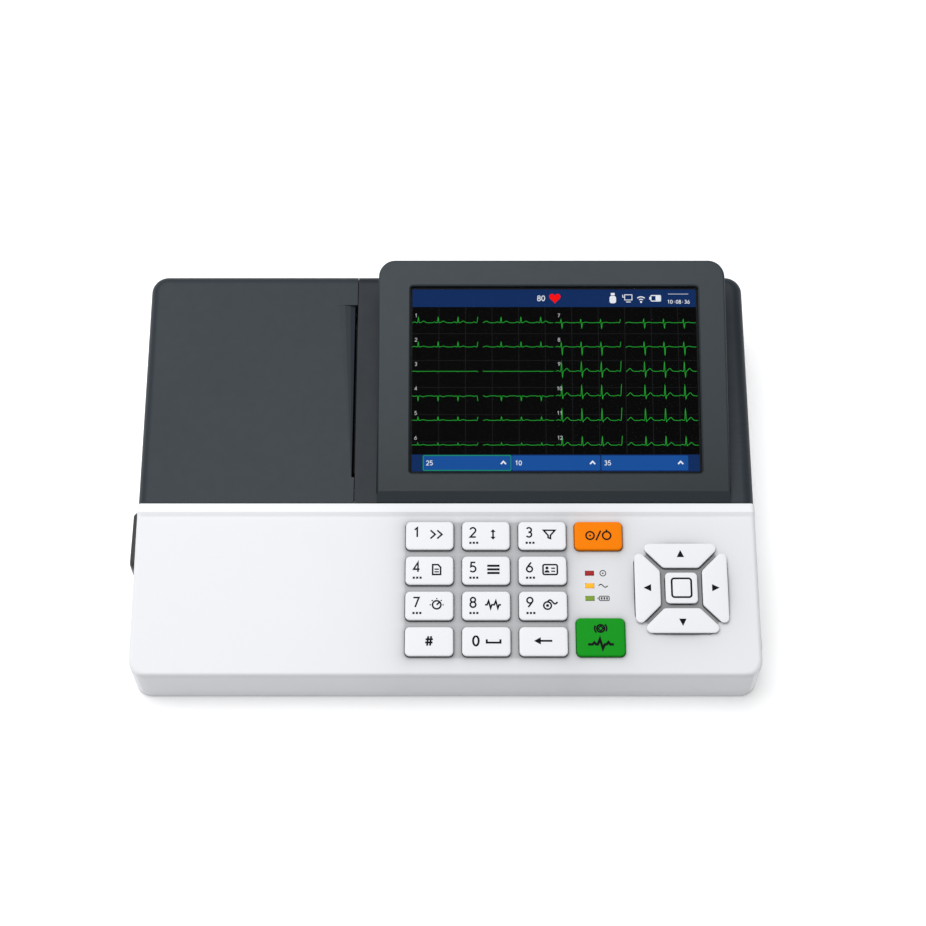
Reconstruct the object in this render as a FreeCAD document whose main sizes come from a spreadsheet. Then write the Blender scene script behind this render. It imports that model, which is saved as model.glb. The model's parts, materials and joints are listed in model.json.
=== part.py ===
"""Portable electrocardiograph with a raised screen, a keyboard deck and a chart printer.

Lengths are millimetres and angles are degrees. X runs to the right, Y to the rear and Z up; the
origin lies on the desk below the middle of the case. Four frames share the X axis: the world, the
sloping keyboard deck, the sloping rear cover and the screen. Each piece is drawn in the frame it
lies in.
"""
import FreeCAD
import Part
import math
import os
import Sketcher
from fcgear import fcgear, involute
from FreeCAD import Placement, Rotation, Vector

# Driving sizes: alias, value, meaning.
SIZES = [
    ("door_width", 110.7, "paper door from the left wall to the paper slot seam"),
    ("strip_width", 11.6, "fixed strip between the door and the screen housing"),
    ("display_width", 180.4, "screen housing across"),
    ("display_margin", 12.3, "cover right of the screen housing"),
    ("wall", 2.5, "moulded wall thickness"),
    ("corner_radius", 9.0, "case corners in plan"),
    ("foot_height", 1.6, "height of the feet below the base"),
    ("base_thickness", 2.0, "base plate"),
    ("front_height", 28.9, "front edge of the deck above the desk"),
    ("deck_tilt", 7.0, "slope of the keyboard deck"),
    ("deck_length", 83.4, "keyboard deck along its slope"),
    ("deck_edge_radius", 2.4, "rounding round the deck"),
    ("lip_run", 2.0, "rise behind the deck, along Y"),
    ("lip_rise", 1.5, "rise behind the deck, along Z"),
    ("lip_width", 4.8, "level lip before the rear cover"),
    ("rear_tilt", 5.8, "slope of the rear cover"),
    ("cover_thickness", 2.5, "top plate of the rear cover and the door"),
    ("cover_skirt", 10.0, "depth of the cover's side walls"),
    ("cover_edge_radius", 6.0, "rounding round the rear cover"),
    ("seam", 0.4, "gap between neighbouring outer pieces"),
    ("paper_width", 80.0, "chart paper"),
    ("bay_front", 23.0, "cover seam to the paper's front edge"),
    ("bay_rear", 28.4, "paper's rear edge to the rear wall"),
    ("roll_radius", 15.0, "paper roll"),
    ("platen_radius", 6.0, "rubber platen"),
    ("hinge_radius", 3.2, "barrel of the door hinge"),
    ("rod_radius", 1.25, "hinge rod"),
    ("display_tilt", 15.5, "slope of the screen"),
    ("display_setback", 5.4, "cover seam to the screen housing"),
    ("display_step", 2.8, "height of the screen's lower edge above the cover"),
    ("display_rear", 6.4, "screen housing to the rear wall"),
    ("bezel_thickness", 2.5, "screen bezel"),
    ("bezel_corner", 8.6, "upper corners of the bezel"),
    ("window_left", 16.5, "bezel left of the window"),
    ("window_right", 14.1, "bezel right of the window"),
    ("window_bottom", 9.5, "bezel below the window"),
    ("window_top", 14.4, "bezel above the window"),
    ("key_width", 24.2, "keys across"),
    ("key_depth", 15.0, "keys from front to rear"),
    ("start_depth", 19.6, "start key from front to rear"),
    ("column_gap", 4.25, "between neighbouring keys, across"),
    ("row_gap", 3.43, "between neighbouring keys, from front to rear"),
    ("key_rise", 2.0, "key tops above the deck"),
    ("key_travel", 1.2, "key stroke"),
    ("key_clearance", 0.35, "gap round each key in the deck"),
    ("pad_span", 46.8, "cursor keys across"),
    ("lamp_width", 4.4, "status lamps across"),
    ("inlet_length", 31.0, "mains inlet flange"),
    ("inlet_proud", 2.6, "mains inlet flange outside the wall"),
    ("port_length", 55.0, "socket panel"),
    ("port_proud", 1.0, "socket panel outside the wall"),
    ("battery_length", 92.0, "battery across"),
    ("battery_height", 19.0, "battery"),
    ("foot_radius", 8.0, "rubber feet"),
    ("post_radius", 3.0, "potential equalisation post"),
]

doc = FreeCAD.newDocument("electrocardiograph")
sheet = doc.addObject("Spreadsheet::Sheet", "dims")


class Size:
    """A number that remembers the sheet formula it came from."""

    def __init__(self, value, text):
        self.value = value
        self.text = text

    def __add__(self, other):
        other = as_size(other)
        return Size(self.value + other.value, f"({self.text} + {other.text})")

    def __radd__(self, other):
        return as_size(other) + self

    def __sub__(self, other):
        other = as_size(other)
        return Size(self.value - other.value, f"({self.text} - {other.text})")

    def __rsub__(self, other):
        return as_size(other) - self

    def __mul__(self, other):
        other = as_size(other)
        return Size(self.value * other.value, f"({self.text} * {other.text})")

    def __rmul__(self, other):
        return as_size(other) * self

    def __truediv__(self, other):
        other = as_size(other)
        return Size(self.value / other.value, f"({self.text} / {other.text})")

    def __neg__(self):
        return Size(-self.value, f"(0 - {self.text})")


def as_size(number):
    if isinstance(number, Size):
        return number
    return Size(float(number), f"({number:.6g})")


def sine(angle):
    return Size(math.sin(math.radians(angle.value)), f"sin({angle.text})")


def cosine(angle):
    return Size(math.cos(math.radians(angle.value)), f"cos({angle.text})")


def tangent(angle):
    return sine(angle) / cosine(angle)


def read_sheet():
    """Fill the sheet and hand back every size by its alias."""
    found = {}
    for row, (alias, value, meaning) in enumerate(SIZES, start=1):
        sheet.set(f"A{row}", meaning)
        sheet.set(f"B{row}", f"{value}")
        sheet.setAlias(f"B{row}", alias)
        found[alias] = Size(value, f"dims.{alias}")
    doc.recompute()
    return found


S = read_sheet()


class Frame:
    """A frame turned about X, with its origin at (0, y, z)."""

    def __init__(self, y=0.0, z=0.0, tilt=0.0):
        self.y = as_size(y)
        self.z = as_size(z)
        self.tilt = as_size(tilt)

    def point(self, along, up):
        """World (y, z) of a point in the frame."""
        y = self.y + along * cosine(self.tilt) - up * sine(self.tilt)
        z = self.z + along * sine(self.tilt) + up * cosine(self.tilt)
        return y, z

    def local(self, y, z):
        """Frame coordinates of a world (y, z)."""
        along = (y - self.y) * cosine(self.tilt) + (z - self.z) * sine(self.tilt)
        up = (z - self.z) * cosine(self.tilt) - (y - self.y) * sine(self.tilt)
        return along, up

    def height_at(self, y, up=0.0):
        """World z of the plane lying `up` above the frame's own plane."""
        return self.z + (y - self.y) * tangent(self.tilt) + as_size(up) / cosine(self.tilt)


def bind(thing, path, size):
    thing.setExpression(path, as_size(size).text)


def place(thing, frame):
    """Stand a finished piece in its frame."""
    thing.Placement = Placement(Vector(0, 0, 0), Rotation(Vector(1, 0, 0), 1))
    bind(thing, "Placement.Base.y", frame.y)
    bind(thing, "Placement.Base.z", frame.z)
    bind(thing, "Placement.Rotation.Angle", frame.tilt)


# Sketch outlines.
class Outline:
    """Constraints and their formulas gathered for one sketch, set all at once."""

    def __init__(self, sketch):
        self.sketch = sketch
        self.constraints = []
        self.formulas = {}

    def tie(self, *terms):
        self.constraints.append(Sketcher.Constraint(*terms))

    def measure(self, size, *terms):
        size = as_size(size)
        self.formulas[len(self.constraints)] = size.text
        self.tie(*terms, size.value)

    def fix_point(self, geometry, vertex, corner):
        for name, size in zip(("DistanceX", "DistanceY"), corner):
            self.measure(size, name, -1, 1, geometry, vertex)

    def close(self):
        first = self.sketch.ConstraintCount
        self.sketch.addConstraint(self.constraints)
        for index, text in self.formulas.items():
            self.sketch.setExpression(f"Constraints[{first + index}]", text)


def values(corner):
    return Vector(as_size(corner[0]).value, as_size(corner[1]).value, 0)


def polygon(corners):
    """Closed outline with sharp corners."""

    def draw(sketch):
        outline = Outline(sketch)
        first = sketch.GeometryCount
        count = len(corners)
        lines = []
        for step in range(count):
            ends = values(corners[step]), values(corners[(step + 1) % count])
            lines.append(Part.LineSegment(*ends))
        sketch.addGeometry(lines, False)
        for step, corner in enumerate(corners):
            outline.tie("Coincident", first + step, 2, first + (step + 1) % count, 1)
            outline.fix_point(first + step, 1, corner)
        outline.close()

    return draw


def corner_arc(spot, before, after, radius):
    """Arc rounding a corner of an anticlockwise outline, with its two ends."""
    inward = (before - spot).normalize()
    outward = (after - spot).normalize()
    half_angle = inward.getAngle(outward) / 2
    trim = radius / math.tan(half_angle)
    centre = spot + (inward + outward).normalize() * (radius / math.sin(half_angle))
    ends = spot + inward * trim, spot + outward * trim
    turns = [math.atan2(end.y - centre.y, end.x - centre.x) for end in ends]
    return Part.ArcOfCircle(Part.Circle(centre, Vector(0, 0, 1), radius), *turns), ends


def rounded(corners, radius):
    """Closed outline, drawn anticlockwise, with its corners rounded by one radius or a list."""

    def draw(sketch):
        outline = Outline(sketch)
        first = sketch.GeometryCount
        count = len(corners)
        spots = [values(corner) for corner in corners]
        bends = radius if isinstance(radius, list) else [radius] * count
        arcs = [
            corner_arc(spot, spots[step - 1], spots[(step + 1) % count], as_size(bends[step]).value)
            for step, spot in enumerate(spots)
        ]
        lines = [
            Part.LineSegment(arcs[step][1][1], arcs[(step + 1) % count][1][0])
            for step in range(count)
        ]
        sketch.addGeometry(lines + [arc for arc, ends in arcs], False)
        sketch.addGeometry([Part.Point(spot) for spot in spots], True)
        for step, corner in enumerate(corners):
            line_before = first + (step - 1) % count
            line_after = first + step
            arc = first + count + step
            point = first + 2 * count + step
            outline.tie("Tangent", line_before, 2, arc, 1)
            outline.tie("Tangent", arc, 2, line_after, 1)
            outline.tie("PointOnObject", point, 1, line_before)
            outline.tie("PointOnObject", point, 1, line_after)
            outline.fix_point(point, 1, corner)
            outline.measure(bends[step], "Radius", arc)
        outline.close()

    return draw


def box_corners(left, right, low, high):
    return [(left, low), (right, low), (right, high), (left, high)]


def rectangle(left, right, low, high):
    return polygon(box_corners(left, right, low, high))


def rounded_box(left, right, low, high, radius):
    return rounded(box_corners(left, right, low, high), radius)


class Piece:
    """One solid grown from sketches: pads, pockets, fillets and chamfers in order."""

    def __init__(self, label, frame=None):
        self.label = label
        self.body = doc.addObject("PartDesign::Body", label)
        self.body.Label = label
        self.steps = 0
        if frame:
            place(self.body, frame)

    def name(self, kind):
        self.steps += 1
        return f"{self.label}_{self.steps}_{kind}"

    def extrude(self, kind, plane, start, end, outlines):
        roles = {feature.Role: feature for feature in self.body.Origin.OriginFeatures}
        sketch = self.body.newObject("Sketcher::SketchObject", self.name("sketch"))
        sketch.AttachmentSupport = [(roles[f"{plane}_Plane"], "")]
        sketch.MapMode = "FlatFace"
        along_normal = plane != "XZ"
        start = as_size(start)
        bind(sketch, "AttachmentOffset.Base.z", start if along_normal else -start)
        for outline in outlines:
            outline(sketch)
        feature = self.body.newObject(f"PartDesign::{kind}", self.name(kind.lower()))
        feature.Profile = sketch
        bind(feature, "Length", end - start)
        feature.Reversed = along_normal if kind == "Pocket" else not along_normal
        return feature

    def pad(self, plane, start, end, *outlines):
        return self.extrude("Pad", plane, start, end, outlines)

    def pocket(self, plane, start, end, *outlines):
        return self.extrude("Pocket", plane, start, end, outlines)

    def dress(self, kind, path, size, boxes):
        """Fillet or chamfer the edges lying inside any of the boxes of x, y and z bounds."""
        doc.recompute()
        tip = self.body.Tip
        chosen = []
        for number, edge in enumerate(tip.Shape.Edges, start=1):
            if any(inside(edge.BoundBox, bounds) for bounds in boxes):
                chosen.append(f"Edge{number}")
        if not chosen:
            raise ValueError(f"no edge found to dress on {self.label}")
        feature = self.body.newObject(f"PartDesign::{kind}", self.name(kind.lower()))
        feature.Base = (tip, chosen)
        bind(feature, path, size)
        return feature

    def fillet(self, radius, *boxes):
        return self.dress("Fillet", "Radius", radius, boxes)

    def chamfer(self, size, *boxes):
        return self.dress("Chamfer", "Size", size, boxes)


def inside(bound, bounds):
    """True where a bounding box lies inside the stated x, y and z bounds."""
    slack = 0.01
    for axis, (low, high) in bounds.items():
        least = getattr(bound, f"{axis.upper()}Min")
        most = getattr(bound, f"{axis.upper()}Max")
        if least < as_size(low).value - slack or most > as_size(high).value + slack:
            return False
    return True


# Plain solids, their unions and their cuts.
counter = {}


def unique(label):
    counter[label] = counter.get(label, 0) + 1
    return f"{label}_{counter[label]}"


def block(label, x, y, z):
    """Box between pairs of x, y and z."""
    solid = doc.addObject("Part::Box", unique(label))
    for path, axis, (low, high) in zip(("Length", "Width", "Height"), "xyz", (x, y, z)):
        bind(solid, path, as_size(high) - low)
        bind(solid, f"Placement.Base.{axis}", low)
    return solid


TURNS = {"x": Rotation(Vector(0, 1, 0), 90), "y": Rotation(Vector(1, 0, 0), -90), "z": Rotation()}


def rod(label, axis, at, start, end, radius):
    """Cylinder along an axis; `at` holds its two other coordinates in x, y, z order."""
    centre = dict(zip([name for name in "xyz" if name != axis], at))
    centre[axis] = start
    solid = doc.addObject("Part::Cylinder", unique(label))
    bind(solid, "Radius", radius)
    bind(solid, "Height", as_size(end) - start)
    solid.Placement = Placement(Vector(0, 0, 0), TURNS[axis])
    for name in "xyz":
        bind(solid, f"Placement.Base.{name}", centre[name])
    return solid


def tube(label, axis, at, start, end, radius, bore):
    outer = rod(label, axis, at, start, end, radius)
    return cut(label, outer, rod(label, axis, at, as_size(start) - 1, as_size(end) + 1, bore))


PLANES = {
    "XY": ("z", Rotation(), Vector(0, 0, 1)),
    "XZ": ("y", Rotation(Vector(1, 0, 0), 90), Vector(0, 1, 0)),
    "YZ": ("x", Rotation(Vector(1, 1, 1), 120), Vector(1, 0, 0)),
}


def draw_on(label, plane, start, outlines):
    """Sketch of its own on a plane at a distance from the origin."""
    axis, turn, direction = PLANES[plane]
    sketch = doc.addObject("Sketcher::SketchObject", unique(f"{label}_sketch"))
    sketch.Placement = Placement(Vector(0, 0, 0), turn)
    bind(sketch, f"Placement.Base.{axis}", start)
    for outline in outlines:
        outline(sketch)
    return sketch


def prism(label, plane, start, end, *outlines):
    """Outlines drawn on a plane and drawn out along its axis."""
    solid = doc.addObject("Part::Extrusion", unique(label))
    solid.Base = draw_on(label, plane, start, outlines)
    solid.DirMode = "Custom"
    solid.Dir = PLANES[plane][2]
    solid.Solid = True
    bind(solid, "LengthFwd", as_size(end) - start)
    return solid


def fuse(label, *solids):
    union = doc.addObject("Part::MultiFuse", unique(label))
    union.Shapes = list(solids)
    return union


def group(label, *solids):
    """Several separate solids kept together."""
    several = doc.addObject("Part::Compound", unique(label))
    several.Links = list(solids)
    return several


def framed(label, frame, *solids):
    """Solids drawn in a frame, stood where the frame is."""
    several = group(label, *solids)
    place(several, frame)
    return several


def cut(label, base, *tools):
    result = doc.addObject("Part::Cut", unique(label))
    result.Base = base
    result.Tool = tools[0] if len(tools) == 1 else group(f"{label}_tools", *tools)
    return result


nodes = []


def finish(label, thing, frame=None):
    """Keep a piece as a node, in its own frame."""
    if frame:
        place(thing, frame)
    thing.Label = label
    nodes.append(thing)


# Stations along X.
case_width = S["door_width"] + S["strip_width"] + S["display_width"] + S["display_margin"]
right = case_width / 2
left = -right
strip_left = left + S["door_width"]
display_left = strip_left + S["strip_width"]
display_right = display_left + S["display_width"]
wall = S["wall"]
seam = S["seam"]
plate = S["cover_thickness"]
skirt = S["cover_skirt"]
gap = as_size(0.3)
zero = as_size(0)

# Frames from front to rear.
rear_length = S["paper_width"] + S["bay_front"] + S["bay_rear"]
lip_depth = S["lip_run"] + S["lip_width"]
deck_run = S["deck_length"] * cosine(S["deck_tilt"])
case_depth = deck_run + lip_depth + rear_length * cosine(S["rear_tilt"])
front = -case_depth / 2
back = case_depth / 2
base_low = S["foot_height"]
base_top = base_low + S["base_thickness"]
deck = Frame(front, S["front_height"], S["deck_tilt"])
lip_foot = deck.point(S["deck_length"], zero)
lip_top = lip_foot[1] + S["lip_rise"]
seam_y = lip_foot[0] + lip_depth
rear = Frame(seam_y, lip_top, S["rear_tilt"])
display_y = seam_y + S["display_setback"]
display_back = back - S["display_rear"]
display = Frame(display_y, rear.height_at(display_y) + S["display_step"], S["display_tilt"])
display_length = (display_back - display_y) / cosine(S["display_tilt"])

# Printer stations in the rear frame: x, distance behind the seam, height above the cover.
hinge_x = left + S["hinge_radius"]
hinge_n = -skirt
hinge_at = (hinge_x, hinge_n)
wall_cut = -(skirt + S["hinge_radius"] + 1.0)
door_right = strip_left - seam
slot_left = door_right - 1.3
slot_front = S["bay_front"] - 8.6
slot_rear = S["bay_front"] + S["paper_width"] + 9.4
platen_at = (strip_left - 7.5, as_size(-15.0))
roller_front = S["bay_front"] - 2.0
roller_rear = S["bay_front"] + S["paper_width"] + 2.0
head_x = platen_at[0] + S["platen_radius"] + gap
roll_at = (left + 40.0, -(plate + 2.0 + S["roll_radius"]))
tray_low = roll_at[1] - S["roll_radius"] - 1.7
frame_feet = (as_size(-34.0), as_size(-43.0))
knuckle_length = 10.0
knuckles = [as_size(6.0), rear_length / 2 - 5.0, rear_length - 17.5]
rod_end = knuckles[2] + knuckle_length

# Key stations on the deck: x and distance from the front edge.
cursor_x = right - 39.2
last_column = cursor_x - S["pad_span"] / 2 - S["key_width"] / 2 - 5.6
columns = [last_column - (S["key_width"] + S["column_gap"]) * step for step in (3, 2, 1, 0)]
last_row = S["deck_length"] - S["key_depth"] / 2 - 3.2
rows = [last_row - (S["key_depth"] + S["row_gap"]) * step for step in range(4)]
cursor_v = (rows[1] + rows[2]) / 2 + 0.1
deck_under = -wall
flange_top = deck_under - 0.2
flange_low = flange_top - 1.5
mat_pad_top = flange_low - S["key_travel"] - 0.3
mat_top = mat_pad_top - 0.6
board_top = mat_top - 1.2
board_low = board_top - 1.6
board_x = (columns[0] - S["key_width"] / 2 - 7.0, cursor_x + S["pad_span"] / 2 + 1.4)
board_v = (as_size(4.0), S["deck_length"] - 3.0)
board_posts = [
    (x, v)
    for x in (board_x[0] + 2.4, cursor_x + 18.0)
    for v in (board_v[0] + 3.0, board_v[1] - 4.0)
]
lamp_x = columns[3] - 4.8
lamp_rows = [cursor_v + 8.2 - 6.6 * step for step in range(3)]
lamp_half = (S["lamp_width"] / 2, as_size(1.22))


def key_corners(column, row, depth):
    half = S["key_width"] / 2
    return box_corners(columns[column] - half, columns[column] + half, row - depth / 2, row + depth / 2)


def cursor_corners(quarter_turns):
    """Outline of one cursor key: the upper one, turned about the middle of the cross."""
    outer = S["pad_span"] / 2
    inner = outer - 12.9
    bevel = 1.55
    half = outer - 5.6
    corners = [(bevel - inner, inner), (inner - bevel, inner), (half, half + bevel)]
    corners += [(half - 3.2, outer), (3.2 - half, outer), (-half, half + bevel)]
    for step in range(quarter_turns):
        corners = [(-up, across) for across, up in corners]
    return [(cursor_x + across, cursor_v + up) for across, up in corners]


def all_keys():
    """Outline of every key by its label."""
    depth = S["key_depth"]
    outlines = {}
    for digit in range(1, 10):
        outlines[f"key_{digit}"] = key_corners((digit - 1) % 3, rows[(digit - 1) // 3], depth)
    for column, label in enumerate(("key_hash", "key_0", "key_back")):
        outlines[label] = key_corners(column, rows[3], depth)
    start_row = rows[3] + (S["start_depth"] - depth) / 2
    outlines["key_power"] = key_corners(3, rows[0], depth)
    outlines["key_start"] = key_corners(3, start_row, S["start_depth"])
    for turns, label in enumerate(("key_up", "key_left", "key_down", "key_right")):
        outlines[label] = cursor_corners(turns)
    half = S["pad_span"] / 2 - 15.3
    outlines["key_ok"] = box_corners(cursor_x - half, cursor_x + half, cursor_v - half, cursor_v + half)
    return outlines


keys = all_keys()


def key_radius(label):
    return as_size(4.0 if label == "key_ok" else 2.5)


def grown(corners, margin):
    """The outline moved outward by a margin, corner by corner along its mitres."""
    count = len(corners)
    spots = [values(corner) for corner in corners]
    moved = []
    for step, (across, up) in enumerate(corners):
        before = (spots[step] - spots[step - 1]).normalize()
        after = (spots[(step + 1) % count] - spots[step]).normalize()
        normals = Vector(before.y + after.y, -before.x - after.x, 0)
        shift = normals * (1.0 / (1.0 + before.dot(after)))
        moved.append((across + margin * shift.x, up + margin * shift.y))
    return moved


# Stations of the sockets and of the pieces standing on the base.
rear_boss_y = back - wall - 3.2
screw_spots = [
    (left + 8.0, front + 8.0),
    (board_x[0] - 16.0, front + 8.0),
    (right - 8.0, front + 8.0),
    (left + 25.0, rear_boss_y),
    (display_left + 24.0, rear_boss_y),
    (right - 25.0, rear_boss_y),
]
screw_radius = as_size(1.5)
inlet_y = seam_y - 0.7 - S["inlet_length"] / 2
inlet_z = (base_top + deck.height_at(inlet_y, deck_under)) / 2 + 2.0
inlet_half = (S["inlet_length"] / 2, as_size(12.0))
port_y = front + 16.0 + S["port_length"] / 2
port_z = base_top + 11.6
port_half = (S["port_length"] / 2, as_size(9.0))
port_back = right - 5.3
usb_y = port_y + port_half[0] - 10.0
serial_y = port_y - port_half[0] + 20.5
lan_at = (display_left + 50.0, base_top + 18.0)
post_at = (display_left + 96.0, base_top + 20.0)
cup_radius = S["post_radius"] + 8.0
cup_floor = back - 10.0
battery_x = (display_left + 40.0, display_left + 40.0 + S["battery_length"])
battery_y = (seam_y + 28.0, back - 32.0)
battery_z = (base_top + 1.3, base_top + 1.3 + S["battery_height"])
main_x = (display_left + 16.0, display_right - 8.0)
main_y = (seam_y + 24.0, back - 22.0)
main_z = battery_z[1] + 3.0
power_x = (left + 32.0, strip_left + 6.0)
power_y = (front + 14.0, seam_y - 12.0)
power_z = base_top + 5.0
speaker_at = (display_left + 44.0, front + 44.0)
speaker_radius = as_size(16.0)


def around(centre, half):
    return centre - half, centre + half


def build_housing():
    """Main moulding: keyboard deck, lip and the walls round the rear bay."""
    shell = Piece("housing_shell")
    wall_top = rear.height_at(seam_y, -skirt - seam)
    wall_top_back = rear.height_at(back, -skirt - seam)
    lip_start = lip_foot[0] + S["lip_run"]
    profile = [
        (front, base_top),
        (back, base_top),
        (back, wall_top_back),
        (seam_y, wall_top),
        (seam_y, lip_top),
        (lip_start, lip_top),
        lip_foot,
        (front, S["front_height"]),
    ]
    shell.pad("YZ", left, right, polygon(profile))
    inner_front = front + wall
    inner_back = back - wall
    inner_x = (left + wall, right - wall)
    ledge_low = rear.height_at(seam_y, -2 * plate - gap)
    clear = wall_top_back + 20.0
    cavity = [
        (inner_front, base_low),
        (inner_back, base_low),
        (inner_back, clear),
        (seam_y + 1.0, clear),
        (seam_y + 1.0, ledge_low),
        (seam_y - wall, ledge_low),
        (seam_y - wall, lip_top - wall),
        (lip_start, lip_top - wall),
        (lip_foot[0], deck.height_at(lip_foot[0], deck_under)),
        (inner_front, deck.height_at(inner_front, deck_under)),
    ]
    shell.pocket("YZ", *inner_x, polygon(cavity))
    upright = [{"x": (x, x), "y": (y, y)} for x in inner_x for y in (inner_front, inner_back)]
    shell.fillet(S["corner_radius"] - wall, *upright)
    upright = [{"x": (x, x), "y": (y, y)} for x in (left, right) for y in (front, back)]
    shell.fillet(S["corner_radius"], *upright)
    deck_edges = {"y": (front, lip_foot[0]), "z": (S["front_height"], lip_foot[1])}
    lip_y = (lip_foot[0], seam_y)
    lip_ends = [{"x": (x, x), "y": lip_y, "z": (lip_foot[1], lip_top)} for x in (left, right)]
    shell.fillet(S["deck_edge_radius"], deck_edges, *lip_ends)
    lowered = box_corners(zero, rear_length + 4.0, wall_cut, 4.0 - skirt)
    lowered = [rear.point(t, n) for t, n in lowered]
    shell.pocket("YZ", left - 1.0, left + 2 * S["hinge_radius"] + 2.6, polygon(lowered))

    ledge = rectangle(seam_y - wall, seam_y + 2.7, ledge_low, ledge_low + plate)
    added = [prism("ledge", "YZ", inner_x[0] + gap, inner_x[1] - gap, ledge)]
    barrels = []
    web_x = (left + wall - 0.4, left + wall + 2.2)
    for start in knuckles:
        span = (start, start + knuckle_length)
        web = block("knuckle_web", web_x, span, (wall_cut - 6.0, hinge_n))
        barrel = rod("knuckle_barrel", "y", hinge_at, *span, S["hinge_radius"])
        barrels.append(fuse("knuckle", web, barrel))
    added.append(framed("knuckles", rear, *barrels))
    posts = [rod("board_post", "z", spot, board_top, deck_under + 0.5, 2.0) for spot in board_posts]
    added.append(framed("board_posts", deck, *posts))
    for x, y in screw_spots:
        top = deck.height_at(y, deck_under) + 0.5 if y.value < 0 else base_top + 20.0
        added.append(rod("boss", "z", (x, y), base_top, top, 3.6))

    holes = []
    for label, corners in keys.items():
        outline = rounded(grown(corners, S["key_clearance"]), key_radius(label) + S["key_clearance"])
        holes.append(prism("key_hole", "XY", deck_under - 0.6, as_size(1.0), outline))
    for row in lamp_rows:
        across = around(lamp_x, lamp_half[0] + 0.1)
        along = around(row, lamp_half[1] + 0.1)
        holes.append(block("lamp_hole", across, along, (deck_under - 0.6, as_size(1.0))))
    tools = [framed("deck_holes", deck, *holes)]
    bore = rod("hinge_bore", "y", hinge_at, knuckles[0] - 0.5, rod_end - 1.5, S["rod_radius"] + 0.05)
    tools.append(framed("hinge_bores", rear, bore))
    for spot in screw_spots:
        tools.append(rod("pilot", "z", spot, base_low, base_top + 12.0, screw_radius + 0.1))
    inlet_hole = [around(inlet_y, inlet_half[0] - 2.0), around(inlet_z, inlet_half[1] - 2.0)]
    tools.append(block("inlet_hole", (left - 1.0, left + wall + 1.0), *inlet_hole))
    port_hole = [around(port_y, port_half[0] - 1.5), around(port_z, port_half[1] - 1.5)]
    tools.append(block("port_hole", (right - wall - 1.0, right + 1.0), *port_hole))
    lan_hole = [around(lan_at[0], 8.2), (back - wall - 1.0, back + 1.0), around(lan_at[1], 6.9)]
    tools.append(block("lan_hole", *lan_hole))
    tools.append(rod("cup_hole", "y", post_at, back - wall - 1.0, back + 1.0, cup_radius + 2.1))
    finish("housing", cut("housing", fuse("housing", shell.body, *added), *tools))


def build_base():
    """Base plate with its rim, posts, speaker grille and battery door opening."""
    plate_piece = Piece("base_plate")
    outline = rounded_box(left, right, front, back, S["corner_radius"])
    opening = rectangle(battery_x[0] - 2.0, battery_x[1] + 2.0, battery_y[0] - 2.0, battery_y[1] + 2.0)
    plate_piece.pad("XY", base_low, base_top, outline, opening)
    rim_z = (base_top - 0.5, base_top + 3.0)
    rim = (wall + 0.2, wall + 1.8)
    added = [
        block("rim", (left + 16.0, right - 16.0), (front + rim[0], front + rim[1]), rim_z),
        block("rim", (left + rim[0], left + rim[1]), (front + 16.0, back - 16.0), rim_z),
        block("rim", (right - rim[1], right - rim[0]), (front + 16.0, back - 16.0), rim_z),
    ]
    foot = base_top - 0.5
    for x in (power_x[0] + 4.0, power_x[1] - 4.0):
        for y in (power_y[0] + 4.0, power_y[1] - 4.0):
            added.append(rod("post", "z", (x, y), foot, power_z, 3.0))
    for x in (main_x[0] + 4.0, main_x[1] - 4.0):
        for y in (main_y[0] + 4.0, main_y[1] - 4.0):
            added.append(rod("post", "z", (x, y), foot, main_z, 3.0))
    for x in (left + 14.0, platen_at[0] - 16.0):
        for t in (roller_front, roller_rear):
            y = rear.point(t, tray_low)[0]
            added.append(rod("post", "z", (x, y), foot, rear.height_at(y, tray_low) - 0.35, 3.0))
    for t, low in zip((roller_front - 5.0, roller_rear + 3.0), frame_feet):
        y = rear.point(t, low)[0]
        added.append(rod("post", "z", (head_x + 3.0, y), foot, rear.height_at(y, low) - 0.35, 3.0))
    through = (base_low - 1.0, base_top + 1.0)
    holes = [rod("screw_hole", "z", spot, *through, screw_radius + 0.1) for spot in screw_spots]
    for across in range(-2, 3):
        for along in range(-2, 3):
            spot = (speaker_at[0] + across * 4.4, speaker_at[1] + along * 4.4)
            holes.append(rod("grille", "z", spot, *through, 1.1))
    finish("bottom_cover", cut("bottom_cover", fuse("bottom_cover", plate_piece.body, *added), *holes))

    lid_y = (battery_y[0] - 1.7, battery_y[1] + 1.7)
    lid = [block("lid", (battery_x[0] - 1.7, battery_x[1] + 1.7), lid_y, (base_low, base_top))]
    for x in (battery_x[0] + 12.0, battery_x[1] - 24.0):
        for y in (lid_y[0] - 3.0, lid_y[1] - 3.0):
            lid.append(block("tab", (x, x + 12.0), (y, y + 6.0), (base_top, base_top + 1.2)))
    finish("battery_cover", fuse("battery_cover", *lid))
    finish("battery_pack", block("battery_pack", battery_x, battery_y, battery_z))

    feet = []
    for x in (left + 24.0, right - 24.0):
        for y in (front + 24.0, back - 24.0):
            feet.append(rod("foot", "z", (x, y), 0.0, base_low, S["foot_radius"]))
    finish("feet", group("feet", *feet))
    screws = []
    for spot in screw_spots:
        head = rod("screw_head", "z", spot, base_low - 1.2, base_low, 2.7)
        shank = rod("screw_shank", "z", spot, base_low - 0.2, base_top + 10.0, screw_radius)
        screws.append(fuse("screw", head, shank))
    finish("case_screws", group("case_screws", *screws))
    cone = rod("speaker_rim", "z", speaker_at, base_top, base_top + 3.0, speaker_radius)
    magnet_radius = speaker_radius * 0.55
    magnet = rod("speaker_magnet", "z", speaker_at, base_top + 2.0, base_top + 8.0, magnet_radius)
    finish("speaker", fuse("speaker", cone, magnet))


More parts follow.
